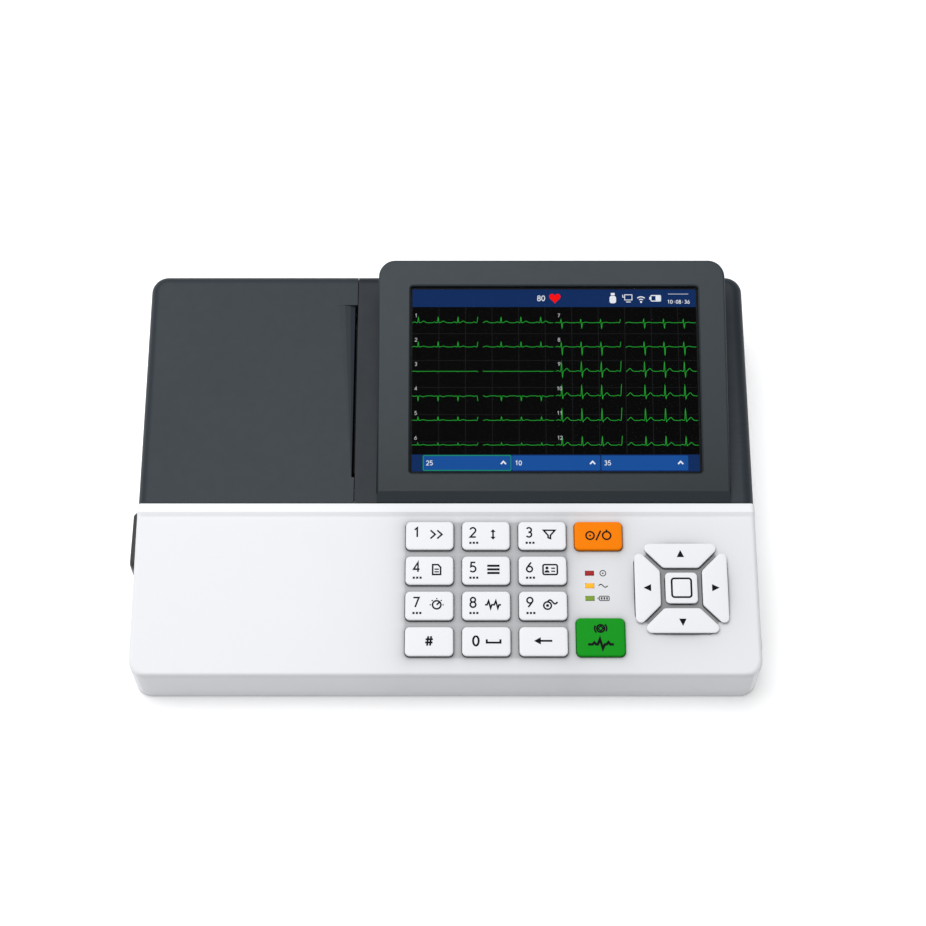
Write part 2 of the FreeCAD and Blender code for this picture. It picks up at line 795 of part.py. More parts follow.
def build_cover():
    """Fixed part of the dark rear cover with the opening for the screen housing."""
    piece = Piece("cover_shell", rear)
    lean = tangent(S["rear_tilt"])
    deep = skirt + 3.0
    profile = [(seam, zero), (seam, -skirt), (rear_length - skirt * lean, -skirt), (rear_length, zero)]
    piece.pad("YZ", strip_left, right, polygon(profile))
    inner_back = rear_length - wall
    cavity = [
        (zero - 1.0, -plate),
        (zero - 1.0, -deep),
        (inner_back - deep * lean, -deep),
        (inner_back - plate * lean, -plate),
    ]
    piece.pocket("YZ", strip_left - 1.0, right - wall, polygon(cavity))
    inner_right = right - wall
    near_inner_back = (inner_back - 3.0, inner_back)
    piece.fillet(S["corner_radius"] - wall, {"x": (inner_right, inner_right), "y": near_inner_back})
    near_back = (rear_length - 2.0, rear_length)
    piece.fillet(S["corner_radius"], {"x": (right, right), "y": near_back})
    top = (zero, zero)
    side = {"x": (right - S["corner_radius"], right), "z": top}
    piece.fillet(S["cover_edge_radius"], side, {"y": (rear_length, rear_length), "z": top})
    run = cosine(S["rear_tilt"])
    t0 = S["display_setback"] / run - seam
    t1 = (display_back - seam_y) / run + seam
    bends = [0.9, 0.9, S["bezel_corner"], S["bezel_corner"]]
    opening = rounded_box(display_left - seam, display_right + seam, t0, t1, bends)
    piece.pocket("XY", -plate - 1.0, as_size(1.0), opening)
    tongue_x = (right - wall - gap - 1.6, right - wall - gap)
    tongue_t = (as_size(8.0), rear_length - 16.0)
    tongue = block("tongue", tongue_x, tongue_t, (-skirt - 4.0, -plate * 0.5))
    finish("rear_cover", fuse("rear_cover", piece.body, framed("tongue", rear, tongue)))


def build_door():
    """Paper door: top plate with skirts, hinge barrel, slot edge and the ears round the platen."""
    piece = Piece("door_shell", rear)
    lean = tangent(S["rear_tilt"])
    deep = skirt + 3.0
    profile = [(seam, zero), (seam, -skirt), (rear_length - skirt * lean, -skirt), (rear_length, zero)]
    piece.pad("YZ", left, door_right, polygon(profile))
    inner_back = rear_length - wall
    inner_left = left + wall
    cavity = [
        (zero - 1.0, -plate),
        (zero - 1.0, -deep),
        (inner_back - deep * lean, -deep),
        (inner_back - plate * lean, -plate),
    ]
    piece.pocket("YZ", inner_left, door_right + 1.0, polygon(cavity))
    near_inner_back = (inner_back - 3.0, inner_back)
    piece.fillet(S["corner_radius"] - wall, {"x": (inner_left, inner_left), "y": near_inner_back})
    piece.fillet(S["corner_radius"], {"x": (left, left), "y": (rear_length - 2.0, rear_length)})
    top = (zero, zero)
    side = {"x": (left, left + S["corner_radius"]), "z": top}
    piece.fillet(S["cover_edge_radius"], side, {"y": (rear_length, rear_length), "z": top})

    added = []
    ends = [seam + 0.2]
    for start in knuckles:
        ends += [start - seam, start + knuckle_length + seam]
    ends.append(rear_length - 6.6)
    for start, end in zip(ends[::2], ends[1::2]):
        if end.value - start.value > 0.5:
            added.append(rod("door_barrel", "y", hinge_at, start, end, S["hinge_radius"]))
    beam_x = (door_right - 15.0, door_right)
    beam_t = (as_size(4.0), rear_length - wall - 0.5)
    added.append(block("beam", beam_x, beam_t, (as_size(-8.0), -plate * 0.5)))
    ear_x = (platen_at[0] - 5.6, platen_at[0] + 5.2)
    ear_n = (platen_at[1] - 5.6, as_size(-7.0))
    for start in (roller_front - 6.0, roller_rear + 2.0):
        added.append(block("ear", ear_x, (start, start + 4.0), ear_n))
    solid = fuse("door_solid", *added)
    place(solid, rear)

    slot_x = (slot_left, door_right + 1.0)
    tools = [block("slot", slot_x, (slot_front, slot_rear), (as_size(-9.0), as_size(1.0)))]
    ramp = doc.addObject("Part::Loft", "ramp")
    sections = []
    for station, width, depth in ((slot_rear, 9.0, 1.8), (slot_front, 0.3, 0.1)):
        corners = [(slot_left - width, 0.02)]
        corners += [(slot_left - width * share, -depth * dip) for share, dip in ((0.6, 0.1), (0.28, 0.42))]
        corners += [(slot_left + 0.1, -depth), (slot_left + 0.1, 0.02)]
        sections.append(draw_on("ramp", "XZ", station, [polygon(corners)]))
    ramp.Sections = sections
    ramp.Solid = True
    ramp.Ruled = True
    tools.append(ramp)
    tools.append(rod("rod_hole", "y", hinge_at, zero, rod_end + 1.0, S["rod_radius"] + 0.05))
    for start in knuckles:
        span = (start - seam, start + knuckle_length + seam)
        tools.append(rod("knuckle_gap", "y", hinge_at, *span, S["hinge_radius"] + 0.4))
    tools.append(rod("bush_hole", "y", platen_at, roller_front - 8.0, roller_rear + 8.0, 4.02))
    tools.append(rod("gear_gap", "y", platen_at, roller_rear + 11.7, roller_rear + 18.6, 8.4))
    cutters = fuse("door_tools", *tools)
    place(cutters, rear)
    finish("paper_door", cut("paper_door", fuse("paper_door", piece.body, solid), cutters))

    hinge_rod = rod("hinge_rod", "y", hinge_at, knuckles[0], rod_end - 2.0, S["rod_radius"])
    finish("hinge_rod", group("hinge_rod", hinge_rod), rear)


def build_platen():
    """Rubber platen on its steel shaft, its gear and the two bushes held by the door."""
    shaft = rod("platen_shaft", "y", platen_at, roller_front - 12.0, roller_rear + 18.0, 2.5)
    finish("platen_shaft", group("platen_shaft", shaft), rear)
    roller = tube("platen_roller", "y", platen_at, roller_front, roller_rear, S["platen_radius"], 2.52)
    finish("platen_roller", roller, rear)
    bushes = [
        tube("bush", "y", platen_at, roller_front - 10.8, roller_front - 1.0, 4.0, 2.55),
        tube("bush", "y", platen_at, roller_rear + 1.0, roller_rear + 10.8, 4.0, 2.55),
    ]
    finish("platen_bushes", group("platen_bushes", *bushes), rear)


TOOTH_MODULE = 0.7
TEETH = {"platen_gear": 20, "idler_gear": 30, "motor_pinion": 17}
GEAR_SLACK = 0.15
IDLER_ANGLE = -74.0
PINION_ANGLE = 10.0


def offset_from(spot, angle, teeth):
    """Centre of the gear meshing with one at `spot`, in a direction given in degrees."""
    reach = TOOTH_MODULE * teeth / 2 + GEAR_SLACK
    turn = math.radians(angle)
    return spot[0] + reach * math.cos(turn), spot[1] + reach * math.sin(turn)


idler_at = offset_from(platen_at, IDLER_ANGLE, TEETH["platen_gear"] + TEETH["idler_gear"])
pinion_at = offset_from(idler_at, PINION_ANGLE, TEETH["idler_gear"] + TEETH["motor_pinion"])
gear_span = (roller_rear + 12.5, roller_rear + 17.5)


def meshing(turn, teeth, angle, next_teeth):
    """Turn of a gear that meshes with one turned by `turn`, in the direction `angle`."""
    ahead = (turn - angle) * teeth / next_teeth
    return angle + 180.0 - ahead + 180.0 / next_teeth


def gear(label, turn, spot, bore):
    """Involute gear lying along the printer axis, with a bore."""
    builder = fcgear.FCWireBuilder()
    involute.CreateExternalGear(builder, TOOTH_MODULE, TEETH[label], 20.0, False)
    start, end = gear_span
    thickness = end.value - start.value
    outline = Part.Face(Part.Wire([curve.toShape() for curve in builder.wire]))
    hole = Part.makeCylinder(bore, thickness + 2, Vector(0, 0, 1), Vector(0, 0, -1))
    blank = doc.addObject("Part::Feature", unique(label))
    blank.Shape = outline.extrude(Vector(0, 0, -thickness)).cut(hole)
    lay_down = Rotation(Vector(1, 0, 0), 90)
    blank.Placement = Placement(Vector(0, 0, 0), lay_down * Rotation(Vector(0, 0, 1), turn))
    for axis, size in zip("xyz", (spot[0], start, spot[1])):
        bind(blank, f"Placement.Base.{axis}", size)
    return blank


def build_gears():
    """Gear train from the motor to the platen."""
    platen_turn = IDLER_ANGLE
    idler_turn = meshing(platen_turn, TEETH["platen_gear"], IDLER_ANGLE, TEETH["idler_gear"])
    pinion_turn = meshing(idler_turn, TEETH["idler_gear"], PINION_ANGLE, TEETH["motor_pinion"])
    platen = gear("platen_gear", platen_turn, platen_at, 2.52)
    finish("platen_gear", group("platen_gear", platen), rear)
    idler = gear("idler_gear", idler_turn, idler_at, 1.55)
    finish("idler_gear", group("idler_gear", idler), rear)
    pinion = gear("motor_pinion", pinion_turn, pinion_at, 0.5)
    shaft = rod("motor_shaft", "y", pinion_at, roller_rear + 3.0, gear_span[1], 1.0)
    finish("motor_pinion", fuse("motor_pinion", pinion, shaft), rear)


def build_printer():
    """Printer frame with its print head and motor, the paper tray and the roll."""
    back_x = (head_x + 4.0, head_x + 6.5)
    front_plate = (roller_front - 11.0, roller_front - 9.0)
    rear_plate = (roller_rear + 9.0, roller_rear + 11.0)
    plate_left = platen_at[0] - 8.0
    plate_top = as_size(-9.0)
    foot_x = (head_x - 4.0, head_x + 14.0)
    foot_n = [(low, low + 1.5) for low in frame_feet]
    solids = [
        block("head_wall", back_x, (front_plate[0], rear_plate[1]), (as_size(-22.0), as_size(-6.0))),
        block("front_plate", (plate_left, head_x + 14.0), front_plate, (frame_feet[0], plate_top)),
        block("rear_plate", (plate_left, head_x + 24.0), rear_plate, (frame_feet[1], plate_top)),
        block("front_foot", foot_x, (front_plate[0], front_plate[1] + 8.0), foot_n[0]),
        block("rear_foot", foot_x, (rear_plate[0] - 10.0, rear_plate[1]), foot_n[1]),
        rod("idler_pin", "y", idler_at, rear_plate[0], gear_span[1], 1.5),
    ]
    cradle = (platen_at[0] - 4.3, platen_at[0] + 4.3)
    whole = (front_plate[0] - 1.0, rear_plate[1] + 0.5)
    tools = [
        block("cradle", cradle, whole, (platen_at[1], as_size(-5.0))),
        rod("cradle_round", "y", platen_at, *whole, 4.3),
        rod("shaft_hole", "y", pinion_at, rear_plate[0] - 1.0, rear_plate[1] + 1.0, 1.4),
    ]
    frame_solid = fuse("frame_solid", *solids)
    finish("printer_frame", cut("printer_frame", frame_solid, fuse("frame_tools", *tools)), rear)

    head_span = (roller_front - 1.0, roller_rear + 1.0)
    head = block("head_bar", (head_x, head_x + 4.0), head_span, (as_size(-21.0), as_size(-9.0)))
    finish("print_head", group("print_head", head), rear)
    motor = rod("motor_can", "y", pinion_at, rear_plate[0] - 13.0, rear_plate[0], 7.5)
    bore = rod("motor_bore", "y", pinion_at, rear_plate[0] - 9.0, rear_plate[0] + 1.0, 1.06)
    finish("stepper_motor", cut("stepper_motor", motor, bore), rear)

    tray_x = (left + 7.5, platen_at[0] - 9.5)
    tray_t = (roller_front - 7.0, roller_rear + 7.0)
    tray = block("tray", tray_x, tray_t, (tray_low, as_size(-9.0)))
    hollow_x = (tray_x[0] + 1.5, tray_x[1] - 1.5)
    hollow_t = (tray_t[0] + 2.0, tray_t[1] - 2.0)
    saddle_t = (tray_t[0] - 1.0, tray_t[1] + 1.0)
    tools = [
        block("tray_hollow", hollow_x, hollow_t, (tray_low + 1.2, zero)),
        block("saddle", around(roll_at[0], 3.3), saddle_t, (roll_at[1], zero)),
        rod("saddle_round", "y", roll_at, *saddle_t, 3.3),
    ]
    finish("paper_tray", cut("paper_tray", tray, fuse("tray_tools", *tools)), rear)

    paper = (S["bay_front"], S["bay_front"] + S["paper_width"])
    roll = tube("paper_roll", "y", roll_at, *paper, S["roll_radius"], 6.02)
    finish("paper_roll", roll, rear)
    core = rod("core", "y", roll_at, paper[0] - 0.5, paper[1] + 0.5, 6.0)
    journal = rod("journal", "y", roll_at, tray_t[0] + 0.3, tray_t[1] - 0.3, 3.0)
    finish("roll_spindle", fuse("roll_spindle", core, journal), rear)


def build_display():
    """Raised screen: housing, bezel, window and panel."""
    lean = tangent(S["display_tilt"])
    thick = S["bezel_thickness"]
    corner = S["bezel_corner"]
    sides = (display_left, display_right)
    window_x = (display_left + S["window_left"], display_right - S["window_right"])
    window_v = (S["window_bottom"], display_length - S["window_top"])
    bezel = Piece("display_bezel", display)
    chin_y = seam_y + seam + 0.1
    chin = display.local(chin_y, rear.height_at(chin_y, as_size(0.06)))
    lower_edge = [(chin[0], zero), chin, (-thick * lean, -thick)]
    upper_edge = [(display_length - thick * lean, -thick), (display_length, zero)]
    bezel.pad("YZ", *sides, polygon(lower_edge + upper_edge))
    upper = [{"x": (x, x), "y": (display_length - 3.0, display_length)} for x in sides]
    bezel.fillet(corner, *upper)
    rims = [{"x": (x, x), "z": (zero, zero)} for x in sides]
    rims.append({"y": (display_length - corner - 1.0, display_length), "z": (zero, zero)})
    bezel.fillet(as_size(1.2), *rims)
    ahead = chin[0] * 1.2
    over = as_size(1.0)
    over_chin = [(zero, zero), (ahead, (chin[1] + 0.3) * 1.2), (ahead, over), (zero, over)]
    bezel.pocket("YZ", display_left - 1.0, display_right + 1.0, polygon(over_chin))
    bezel.pocket("XY", -thick - 1.0, as_size(1.0), rounded_box(*window_x, *window_v, 1.5))
    seat_x = (window_x[0] - 2.0, window_x[1] + 2.0)
    seat_v = (window_v[0] - 2.0, window_v[1] + 2.0)
    bezel.pocket("XY", -thick - 1.0, as_size(-1.0), rounded_box(*seat_x, *seat_v, 2.0))
    bezel.chamfer(as_size(0.7), {"x": window_x, "y": window_v, "z": (zero, zero)})
    nodes.append(bezel.body)

    pane_x = (window_x[0] - 1.8, window_x[1] + 1.8)
    pane_v = (window_v[0] - 1.8, window_v[1] + 1.8)
    pane = prism("pane", "XY", 0.1 - thick, as_size(-1.0), rounded_box(*pane_x, *pane_v, 1.8))
    finish("display_window", pane, display)
    panel_x = (window_x[0] - 6.0, window_x[1] + 6.0)
    panel_v = (window_v[0] - 5.0, window_v[1] + 5.0)
    panel = block("lcd", panel_x, panel_v, (-thick - 6.0, -thick))
    finish("lcd_module", group("lcd_module", panel), display)

    shell = Piece("display_shell", display)
    sunk = -plate - 2.0
    bottom = [display.local(y, rear.height_at(y, sunk)) for y in (display_y, display_back)]
    profile = [bottom[0], bottom[1], (display_length - thick * lean, -thick), (-thick * lean, -thick)]
    shell.pad("YZ", *sides, polygon(profile))
    inner = [
        display.local(display_y + wall, display.z - 20.0),
        display.local(display_back - wall, display.z - 20.0),
        display.local(display_back - wall, display.z + 60.0),
        display.local(display_y + wall, display.z + 60.0),
    ]
    inner_x = (display_left + wall, display_right - wall)
    shell.pocket("YZ", *inner_x, polygon(inner))
    far = (display_length - 20.0, display_length)
    shell.fillet(corner - wall, *[{"x": (x, x), "y": far} for x in inner_x])
    shell.fillet(corner, *[{"x": (x, x), "y": far} for x in sides])
    shell.fillet(as_size(0.5), *[{"x": (x, x), "y": (as_size(-6.0), zero)} for x in sides])
    run = cosine(S["rear_tilt"])
    t0 = S["display_setback"] / run
    t1 = (display_back - seam_y) / run
    outer = rounded_box(display_left - 2.5, display_right + 2.5, t0 - 2.0, t1 + 1.6, 3.0)
    bends = [1.5, 1.5, corner, corner]
    inner = rounded_box(display_left + 1.0, display_right - 1.0, t0 + 1.0, t1 - 1.0, bends)
    flange = prism("display_flange", "XY", sunk, -plate - 0.1, outer, inner)
    finish("display_case", fuse("display_case", shell.body, framed("display_flange", rear, flange)))


def build_keys():
    """Keys with their retaining flanges, the mat below them, the key board and the lamps."""
    for label, corners in keys.items():
        key = Piece(label, deck)
        key.pad("XY", flange_low, S["key_rise"], rounded(corners, key_radius(label)))
        key.fillet(as_size(0.7), {"z": (S["key_rise"], S["key_rise"])})
        key.pad("XY", flange_low, flange_top, polygon(grown(corners, as_size(0.7))))
        nodes.append(key.body)
    mat_x = (board_x[0] + 5.0, board_x[1] - 0.5)
    mat_v = (board_v[0] + 0.5, board_v[1] - 0.5)
    mat = [block("mat", mat_x, mat_v, (board_top, mat_top))]
    dome_n = (mat_top - 0.3, mat_pad_top)
    for corners in keys.values():
        middle = [sum((corner[axis] for corner in corners), zero) / len(corners) for axis in (0, 1)]
        mat.append(block("dome", around(middle[0], 3.5), around(middle[1], 3.5), dome_n))
    holes = []
    for row in lamp_rows:
        hole = [around(lamp_x, lamp_half[0] + 0.4), around(row, lamp_half[1] + 0.4)]
        holes.append(block("lamp_gap", *hole, (board_top - 1.0, mat_top + 1.0)))
    for spot in board_posts[2:]:
        holes.append(rod("post_gap", "z", spot, board_top - 1.0, mat_top + 1.0, 2.4))
    finish("key_mat", cut("key_mat", fuse("key_mat", *mat), *holes), deck)
    board = block("key_pcb", board_x, board_v, (board_low, board_top))
    finish("key_board", group("key_board", board), deck)
    for label, row in zip(("lamp_red", "lamp_amber", "lamp_green"), lamp_rows):
        outline = rounded_box(*around(lamp_x, lamp_half[0]), *around(row, lamp_half[1]), 0.6)
        finish(label, prism(label, "XY", board_top, as_size(0.2), outline), deck)


def build_boards():
    """Main board and power board with their larger parts."""
    top = main_z + 1.6
    parts = [block("main_pcb", main_x, main_y, (main_z, top))]
    # Each part by its corner from the board's corner, its length, width and height.
    chips = [(14.0, 20.0, 22.0, 22.0, 2.4), (48.0, 24.0, 16.0, 16.0, 1.8), (76.0, 30.0, 12.0, 20.0, 1.6)]
    chips += [(104.0, 18.0, 24.0, 18.0, 4.0), (20.0, 54.0, 30.0, 8.0, 5.0), (96.0, 52.0, 34.0, 8.0, 5.0)]
    for x, y, length, width, height in chips:
        across = (main_x[0] + x, main_x[0] + x + length)
        along = (main_y[0] + y, main_y[0] + y + width)
        parts.append(block("chip", across, along, (top, top + height)))
    finish("main_board", group("main_board", *parts))

    top = power_z + 1.6
    tall = S["front_height"] - 5.0
    parts = [block("power_pcb", power_x, power_y, (power_z, top))]
    bulky = [(30.0, 22.0, 28.0, 24.0, tall), (6.0, 12.0, 18.0, 16.0, tall - 3.0)]
    bulky.append((64.0, 12.0, 3.0, 38.0, tall))
    for x, y, length, width, height in bulky:
        across = (power_x[0] + x, power_x[0] + x + length)
        along = (power_y[0] + y, power_y[0] + y + width)
        parts.append(block("coil", across, along, (top, height)))
    for step in range(2):
        spot = (power_x[0] + 34.0 + 18.0 * step, power_y[0] + 11.0)
        parts.append(rod("capacitor", "z", spot, top, tall, 6.5))
    finish("power_board", group("power_board", *parts))


def build_sockets():
    """Mains inlet, socket panel with its sockets, network socket, equalisation cup and post."""
    inlet = Piece("ac_inlet")
    flange = [*around(inlet_y, inlet_half[0]), *around(inlet_z, inlet_half[1])]
    inlet.pad("YZ", left - S["inlet_proud"], left, rounded_box(*flange, 3.0))
    face = left - S["inlet_proud"]
    inlet.chamfer(as_size(1.3), {"x": (face, face)})
    body = [*around(inlet_y, inlet_half[0] - 2.2), *around(inlet_z, inlet_half[1] - 2.2)]
    inlet.pad("YZ", left - 0.5, left + 22.0, rectangle(*body))
    cavity = [*around(inlet_y, inlet_half[0] - 3.7), *around(inlet_z, inlet_half[1] - 3.9)]
    inlet.pocket("YZ", face - 1.0, left + 16.0, rounded_box(*cavity, 2.0))
    nodes.append(inlet.body)
    blades = []
    for across, up in ((-7.0, -2.0), (0.0, 2.0), (7.0, -2.0)):
        blade = [around(inlet_y + across, 1.0), around(inlet_z + up, 2.0)]
        blades.append(block("blade", (left + 2.0, left + 16.0), *blade))
    finish("inlet_blades", group("inlet_blades", *blades))

    panel = Piece("port_panel")
    face = right + S["port_proud"]
    flange = [*around(port_y, port_half[0]), *around(port_z, port_half[1])]
    panel.pad("YZ", right, face, rounded_box(*flange, 2.0))
    panel.fillet(as_size(0.6), {"x": (face, face)})
    plug = [*around(port_y, port_half[0] - 1.7), *around(port_z, port_half[1] - 1.7)]
    panel.pad("YZ", port_back, right + 0.2, rectangle(*plug))
    serial_hole = rounded_box(*around(serial_y, 13.3), *around(port_z, 5.2), 2.0)
    usb_hole = rectangle(*around(usb_y, 7.5), *around(port_z, 3.8))
    panel.pocket("YZ", port_back - 1.0, face + 1.0, serial_hole, usb_hole)
    nodes.append(panel.body)

    low, high = around(port_z, 4.2)
    edge = [(serial_y - 11.6, low), (serial_y + 11.6, low)]
    edge += [(serial_y + 12.8, high), (serial_y - 12.8, high)]
    shell = prism("serial_shell", "YZ", port_back - 5.0, right + 0.6, rounded(edge, 1.6))
    flange_x = (port_back - 1.0, port_back)
    flange = block("serial_flange", flange_x, around(serial_y, 16.5), around(port_z, 6.2))
    contacts = []
    for row, count in ((1.4, 8), (-1.4, 7)):
        for step in range(count):
            spot = (serial_y + 2.7 * (step - (count - 1) / 2), port_z + row)
            contacts.append(rod("contact", "x", spot, right - 3.0, right + 1.0, 0.55))
    finish("patient_socket", cut("patient_socket", fuse("patient_socket", shell, flange), *contacts))
    shell = block("usb_shell", (right - 13.0, right + 0.6), around(usb_y, 7.2), around(port_z, 3.5))
    hollow = block("usb_hollow", (right - 10.0, right + 1.0), around(usb_y, 6.4), around(port_z, 2.7))
    tongue_z = (port_z + 0.2, port_z + 2.0)
    tongue = block("usb_tongue", (right - 11.0, right - 1.0), around(usb_y, 5.6), tongue_z)
    finish("usb_socket", fuse("usb_socket", cut("usb_body", shell, hollow), tongue))

    socket = block("lan_body", around(lan_at[0], 7.9), (back - 21.0, back), around(lan_at[1], 6.6))
    hollow = block("lan_hollow", around(lan_at[0], 6.0), (back - 13.0, back + 1.0), around(lan_at[1], 4.4))
    finish("lan_socket", cut("lan_socket", socket, hollow))
    cup = [
        rod("cup_wall", "y", post_at, cup_floor - 2.0, back, cup_radius + 2.0),
        rod("cup_flange", "y", post_at, back - wall - 2.0, back - wall, cup_radius + 4.0),
    ]
    hollow = [
        rod("cup_hollow", "y", post_at, cup_floor, back + 1.0, cup_radius),
        rod("post_hole", "y", post_at, cup_floor - 3.0, cup_floor + 1.0, 2.1),
    ]
    cup_tools = fuse("cup_tools", *hollow)
    finish("equalisation_cup", cut("equalisation_cup", fuse("cup_body", *cup), cup_tools))
    post = [
        rod("post_pin", "y", post_at, cup_floor, back - 0.5, S["post_radius"]),
        rod("post_flange", "y", post_at, cup_floor, cup_floor + 2.0, S["post_radius"] + 2.5),
        rod("post_thread", "y", post_at, cup_floor - 8.0, cup_floor + 1.0, 2.0),
        rod("post_nut", "y", post_at, cup_floor - 5.0, cup_floor - 2.0, 4.0),
    ]
    finish("ground_post", fuse("ground_post", *post))


def check_and_export():
    """Stop on any broken piece, then write each node to its own file."""
    doc.recompute()
    for thing in doc.Objects:
        if "Invalid" in thing.State or "Error" in thing.State:
            raise ValueError(f"{thing.Name} failed")
    os.makedirs("parts", exist_ok=True)
    for node in nodes:
        shape = node.Shape
        if shape.isNull() or not shape.isValid() or not shape.Solids:
            raise ValueError(f"{node.Label} has no valid solid")
        shape.exportStep(f"parts/{node.Label}.step")


build_housing()
build_base()
build_cover()
build_door()
build_platen()
build_gears()
build_printer()
build_display()
build_keys()
build_boards()
build_sockets()
check_and_export()
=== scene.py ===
"""Looks of a portable electrocardiograph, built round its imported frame.

The solids of the frame stay where they are and get procedural finishes. The operators add what is
finer than the solids: printed key caps, lamp lenses, the picture on the screen, contacts in the
sockets, screws, feet and the inside of the paper bay, and set a stage with soft light and a camera.
Drawings are in millimetres, pieces in metres.
"""
import json
import math

import bmesh
import bpy
from bpy.props import FloatProperty, FloatVectorProperty, PointerProperty
from bpy.types import Operator, Panel, PropertyGroup
from mathutils import Matrix, Vector
from mathutils.geometry import convex_hull_2d, intersect_line_line_2d


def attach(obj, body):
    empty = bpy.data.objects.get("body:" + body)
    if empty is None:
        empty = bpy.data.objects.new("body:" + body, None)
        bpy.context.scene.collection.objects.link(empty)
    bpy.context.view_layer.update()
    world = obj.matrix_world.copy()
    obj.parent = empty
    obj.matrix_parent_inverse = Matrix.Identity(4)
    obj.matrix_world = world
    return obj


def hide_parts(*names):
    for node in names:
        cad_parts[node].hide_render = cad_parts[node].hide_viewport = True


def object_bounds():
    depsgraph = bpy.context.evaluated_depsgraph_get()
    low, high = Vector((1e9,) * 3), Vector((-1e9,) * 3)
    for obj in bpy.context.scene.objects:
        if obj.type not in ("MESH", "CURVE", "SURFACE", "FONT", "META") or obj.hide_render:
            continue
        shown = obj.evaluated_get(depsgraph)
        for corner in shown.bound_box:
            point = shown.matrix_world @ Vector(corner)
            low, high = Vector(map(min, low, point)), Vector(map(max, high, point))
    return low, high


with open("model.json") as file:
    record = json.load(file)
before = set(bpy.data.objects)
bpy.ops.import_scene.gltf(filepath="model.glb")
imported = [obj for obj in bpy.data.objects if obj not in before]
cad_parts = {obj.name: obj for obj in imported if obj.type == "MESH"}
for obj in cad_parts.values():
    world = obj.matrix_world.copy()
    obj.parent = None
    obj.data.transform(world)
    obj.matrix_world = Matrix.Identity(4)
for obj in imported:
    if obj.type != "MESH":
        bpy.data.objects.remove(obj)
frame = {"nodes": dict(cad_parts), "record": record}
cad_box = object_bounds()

bl_info = {
    "name": "Electrocardiograph looks",
    "version": (1, 0, 0),
    "blender": (4, 5, 0),
    "location": "View3D > Sidebar > ECG",
    "description": "Finishes, keys, screen picture and stage of a portable electrocardiograph",
    "category": "Object",
}

MM = 0.001
SCALE = Matrix.Diagonal((MM, MM, MM, 1))
# Points nearer to a face than this lie in it.
NEAR = 0.05 * MM
MITRE_LIMIT = 0.17
SHARP_ANGLE = math.radians(32)
nodes = frame["nodes"]
record = frame["record"]
slot_of = {part["node"]: part["material_slot"] for part in record["subparts"]}
body_of = {node: body for body, members in record["behaviour"]["bodies"].items() for node in members}


def tint(name, description, default):
    return FloatVectorProperty(
        name=name, description=description, default=default, size=3, min=0.0, max=1.0, subtype="COLOR"
    )


def number(name, description, default, **kind):
    return FloatProperty(name=name, description=description, default=default, min=0.0, **kind)


def length(name, description, default):
    return number(name, description, default * MM, unit="LENGTH", precision=5)


class CaseFinish(PropertyGroup):
    """Colours and grain of the mouldings."""

    # The lip keeps this colour as a painted highlight; painted shade darkens the rest of the case from it.
    case_colour: tint("Case", "White moulding at its brightest, on the lip", (0.93, 0.938, 0.965))
    base_colour: tint("Base", "Light grey moulding of the base", (0.56, 0.565, 0.58))
    door_colour: tint("Paper door", "Dark moulding of the paper door", (0.026, 0.034, 0.042))
    # The rear cover keeps this colour on its right margin; painted shade darkens it left of the middle, on
    # the strip beside the screen.
    cover_colour: tint("Cover", "Dark moulding round the screen's foot", (0.024, 0.031, 0.040))
    # The bezel's top keeps this colour; painted shade darkens it towards the screen's foot.
    bezel_colour: tint("Bezel", "Dark moulding round the screen", (0.0370, 0.0485, 0.0565))
    panel_colour: tint("Socket panel", "Light moulding of the socket panel", (0.62, 0.63, 0.65))
    black_colour: tint("Black", "Black moulding of inlet and tray", (0.012, 0.0125, 0.014))
    grain_size: length("Grain", "Size of the pebbles in the moulded texture", 0.45)
    grain_depth: length("Grain depth", "Depth of the moulded texture", 0.012)


class KeyFinish(PropertyGroup):
    """Colours and shape of the keys and their print."""

    key_colour: tint("Keys", "White keys", (0.82, 0.827, 0.855))
    power_colour: tint("Power key", "Orange key", (0.93, 0.218, 0.0008))
    start_colour: tint("Start key", "Green key", (0.006, 0.30, 0.012))
    # Grey painted on the sides of the white keys as their shade.
    skirt_colour: tint("Skirt", "Sides of the white keys", (0.25, 0.25, 0.26))
    ink_colour: tint("Ink", "Print on the keys", (0.006, 0.006, 0.008))
    edge_radius: length("Edge", "Rounding of the key tops", 0.75)
    crown: length("Crown", "Height of the middle of a key top over its edge", 0.18)
    numeral_height: length("Numerals", "Height of the numerals", 5.8)
    line_width: length("Lines", "Width of the lines in the numerals and signs", 0.82)


class ScreenFinish(PropertyGroup):
    """Colours and lines of the picture on the screen."""

    bar_colour: tint("Bars", "Status bar and foot bar", (0.0046, 0.026, 0.116))
    button_colour: tint("Buttons", "Buttons of the foot bar", (0.009, 0.08, 0.33))
    chart_colour: tint("Chart", "Ground of the curves", (0.0004, 0.0004, 0.0005))
    grid_colour: tint("Grid", "Faint grid behind the curves", (0.011, 0.012, 0.013))
    trace_colour: tint("Curves", "Curves", (0.018, 0.40, 0.035))
    sign_colour: tint("Signs", "White signs and numerals", (0.82, 0.86, 0.92))
    heart_colour: tint("Heart", "Heart beside the rate", (0.95, 0.004, 0.004))
    trace_width: length("Curve width", "Width of the curves", 0.28)


class StageFinish(PropertyGroup):
    """Floor, light and camera."""

    floor_colour: tint("Floor", "Plain pale floor", (0.96, 0.96, 0.96))
    floor_glow: number("Floor glow", "Light given off by the floor itself", 0.24)
    elevation: number("Elevation", "Height of the camera over the desk", math.radians(62.5), subtype="ANGLE")
    distance: length("Distance", "Camera to the point it looks at", 1035.5)
    lens: number("Lens", "Focal length of the camera", 78.1, unit="CAMERA")
    top_power: number("Top light", "Power of the overhead panel", 70.0, unit="POWER")
    front_power: number("Front light", "Power of the front panel", 4.0, unit="POWER")
    sky: number("Sky", "Strength of the even light all round", 0.26)


# Places taken from the frame.
def box_of(spots):
    """Lowest and highest corner round some points."""
    return Vector(map(min, *spots)), Vector(map(max, *spots))


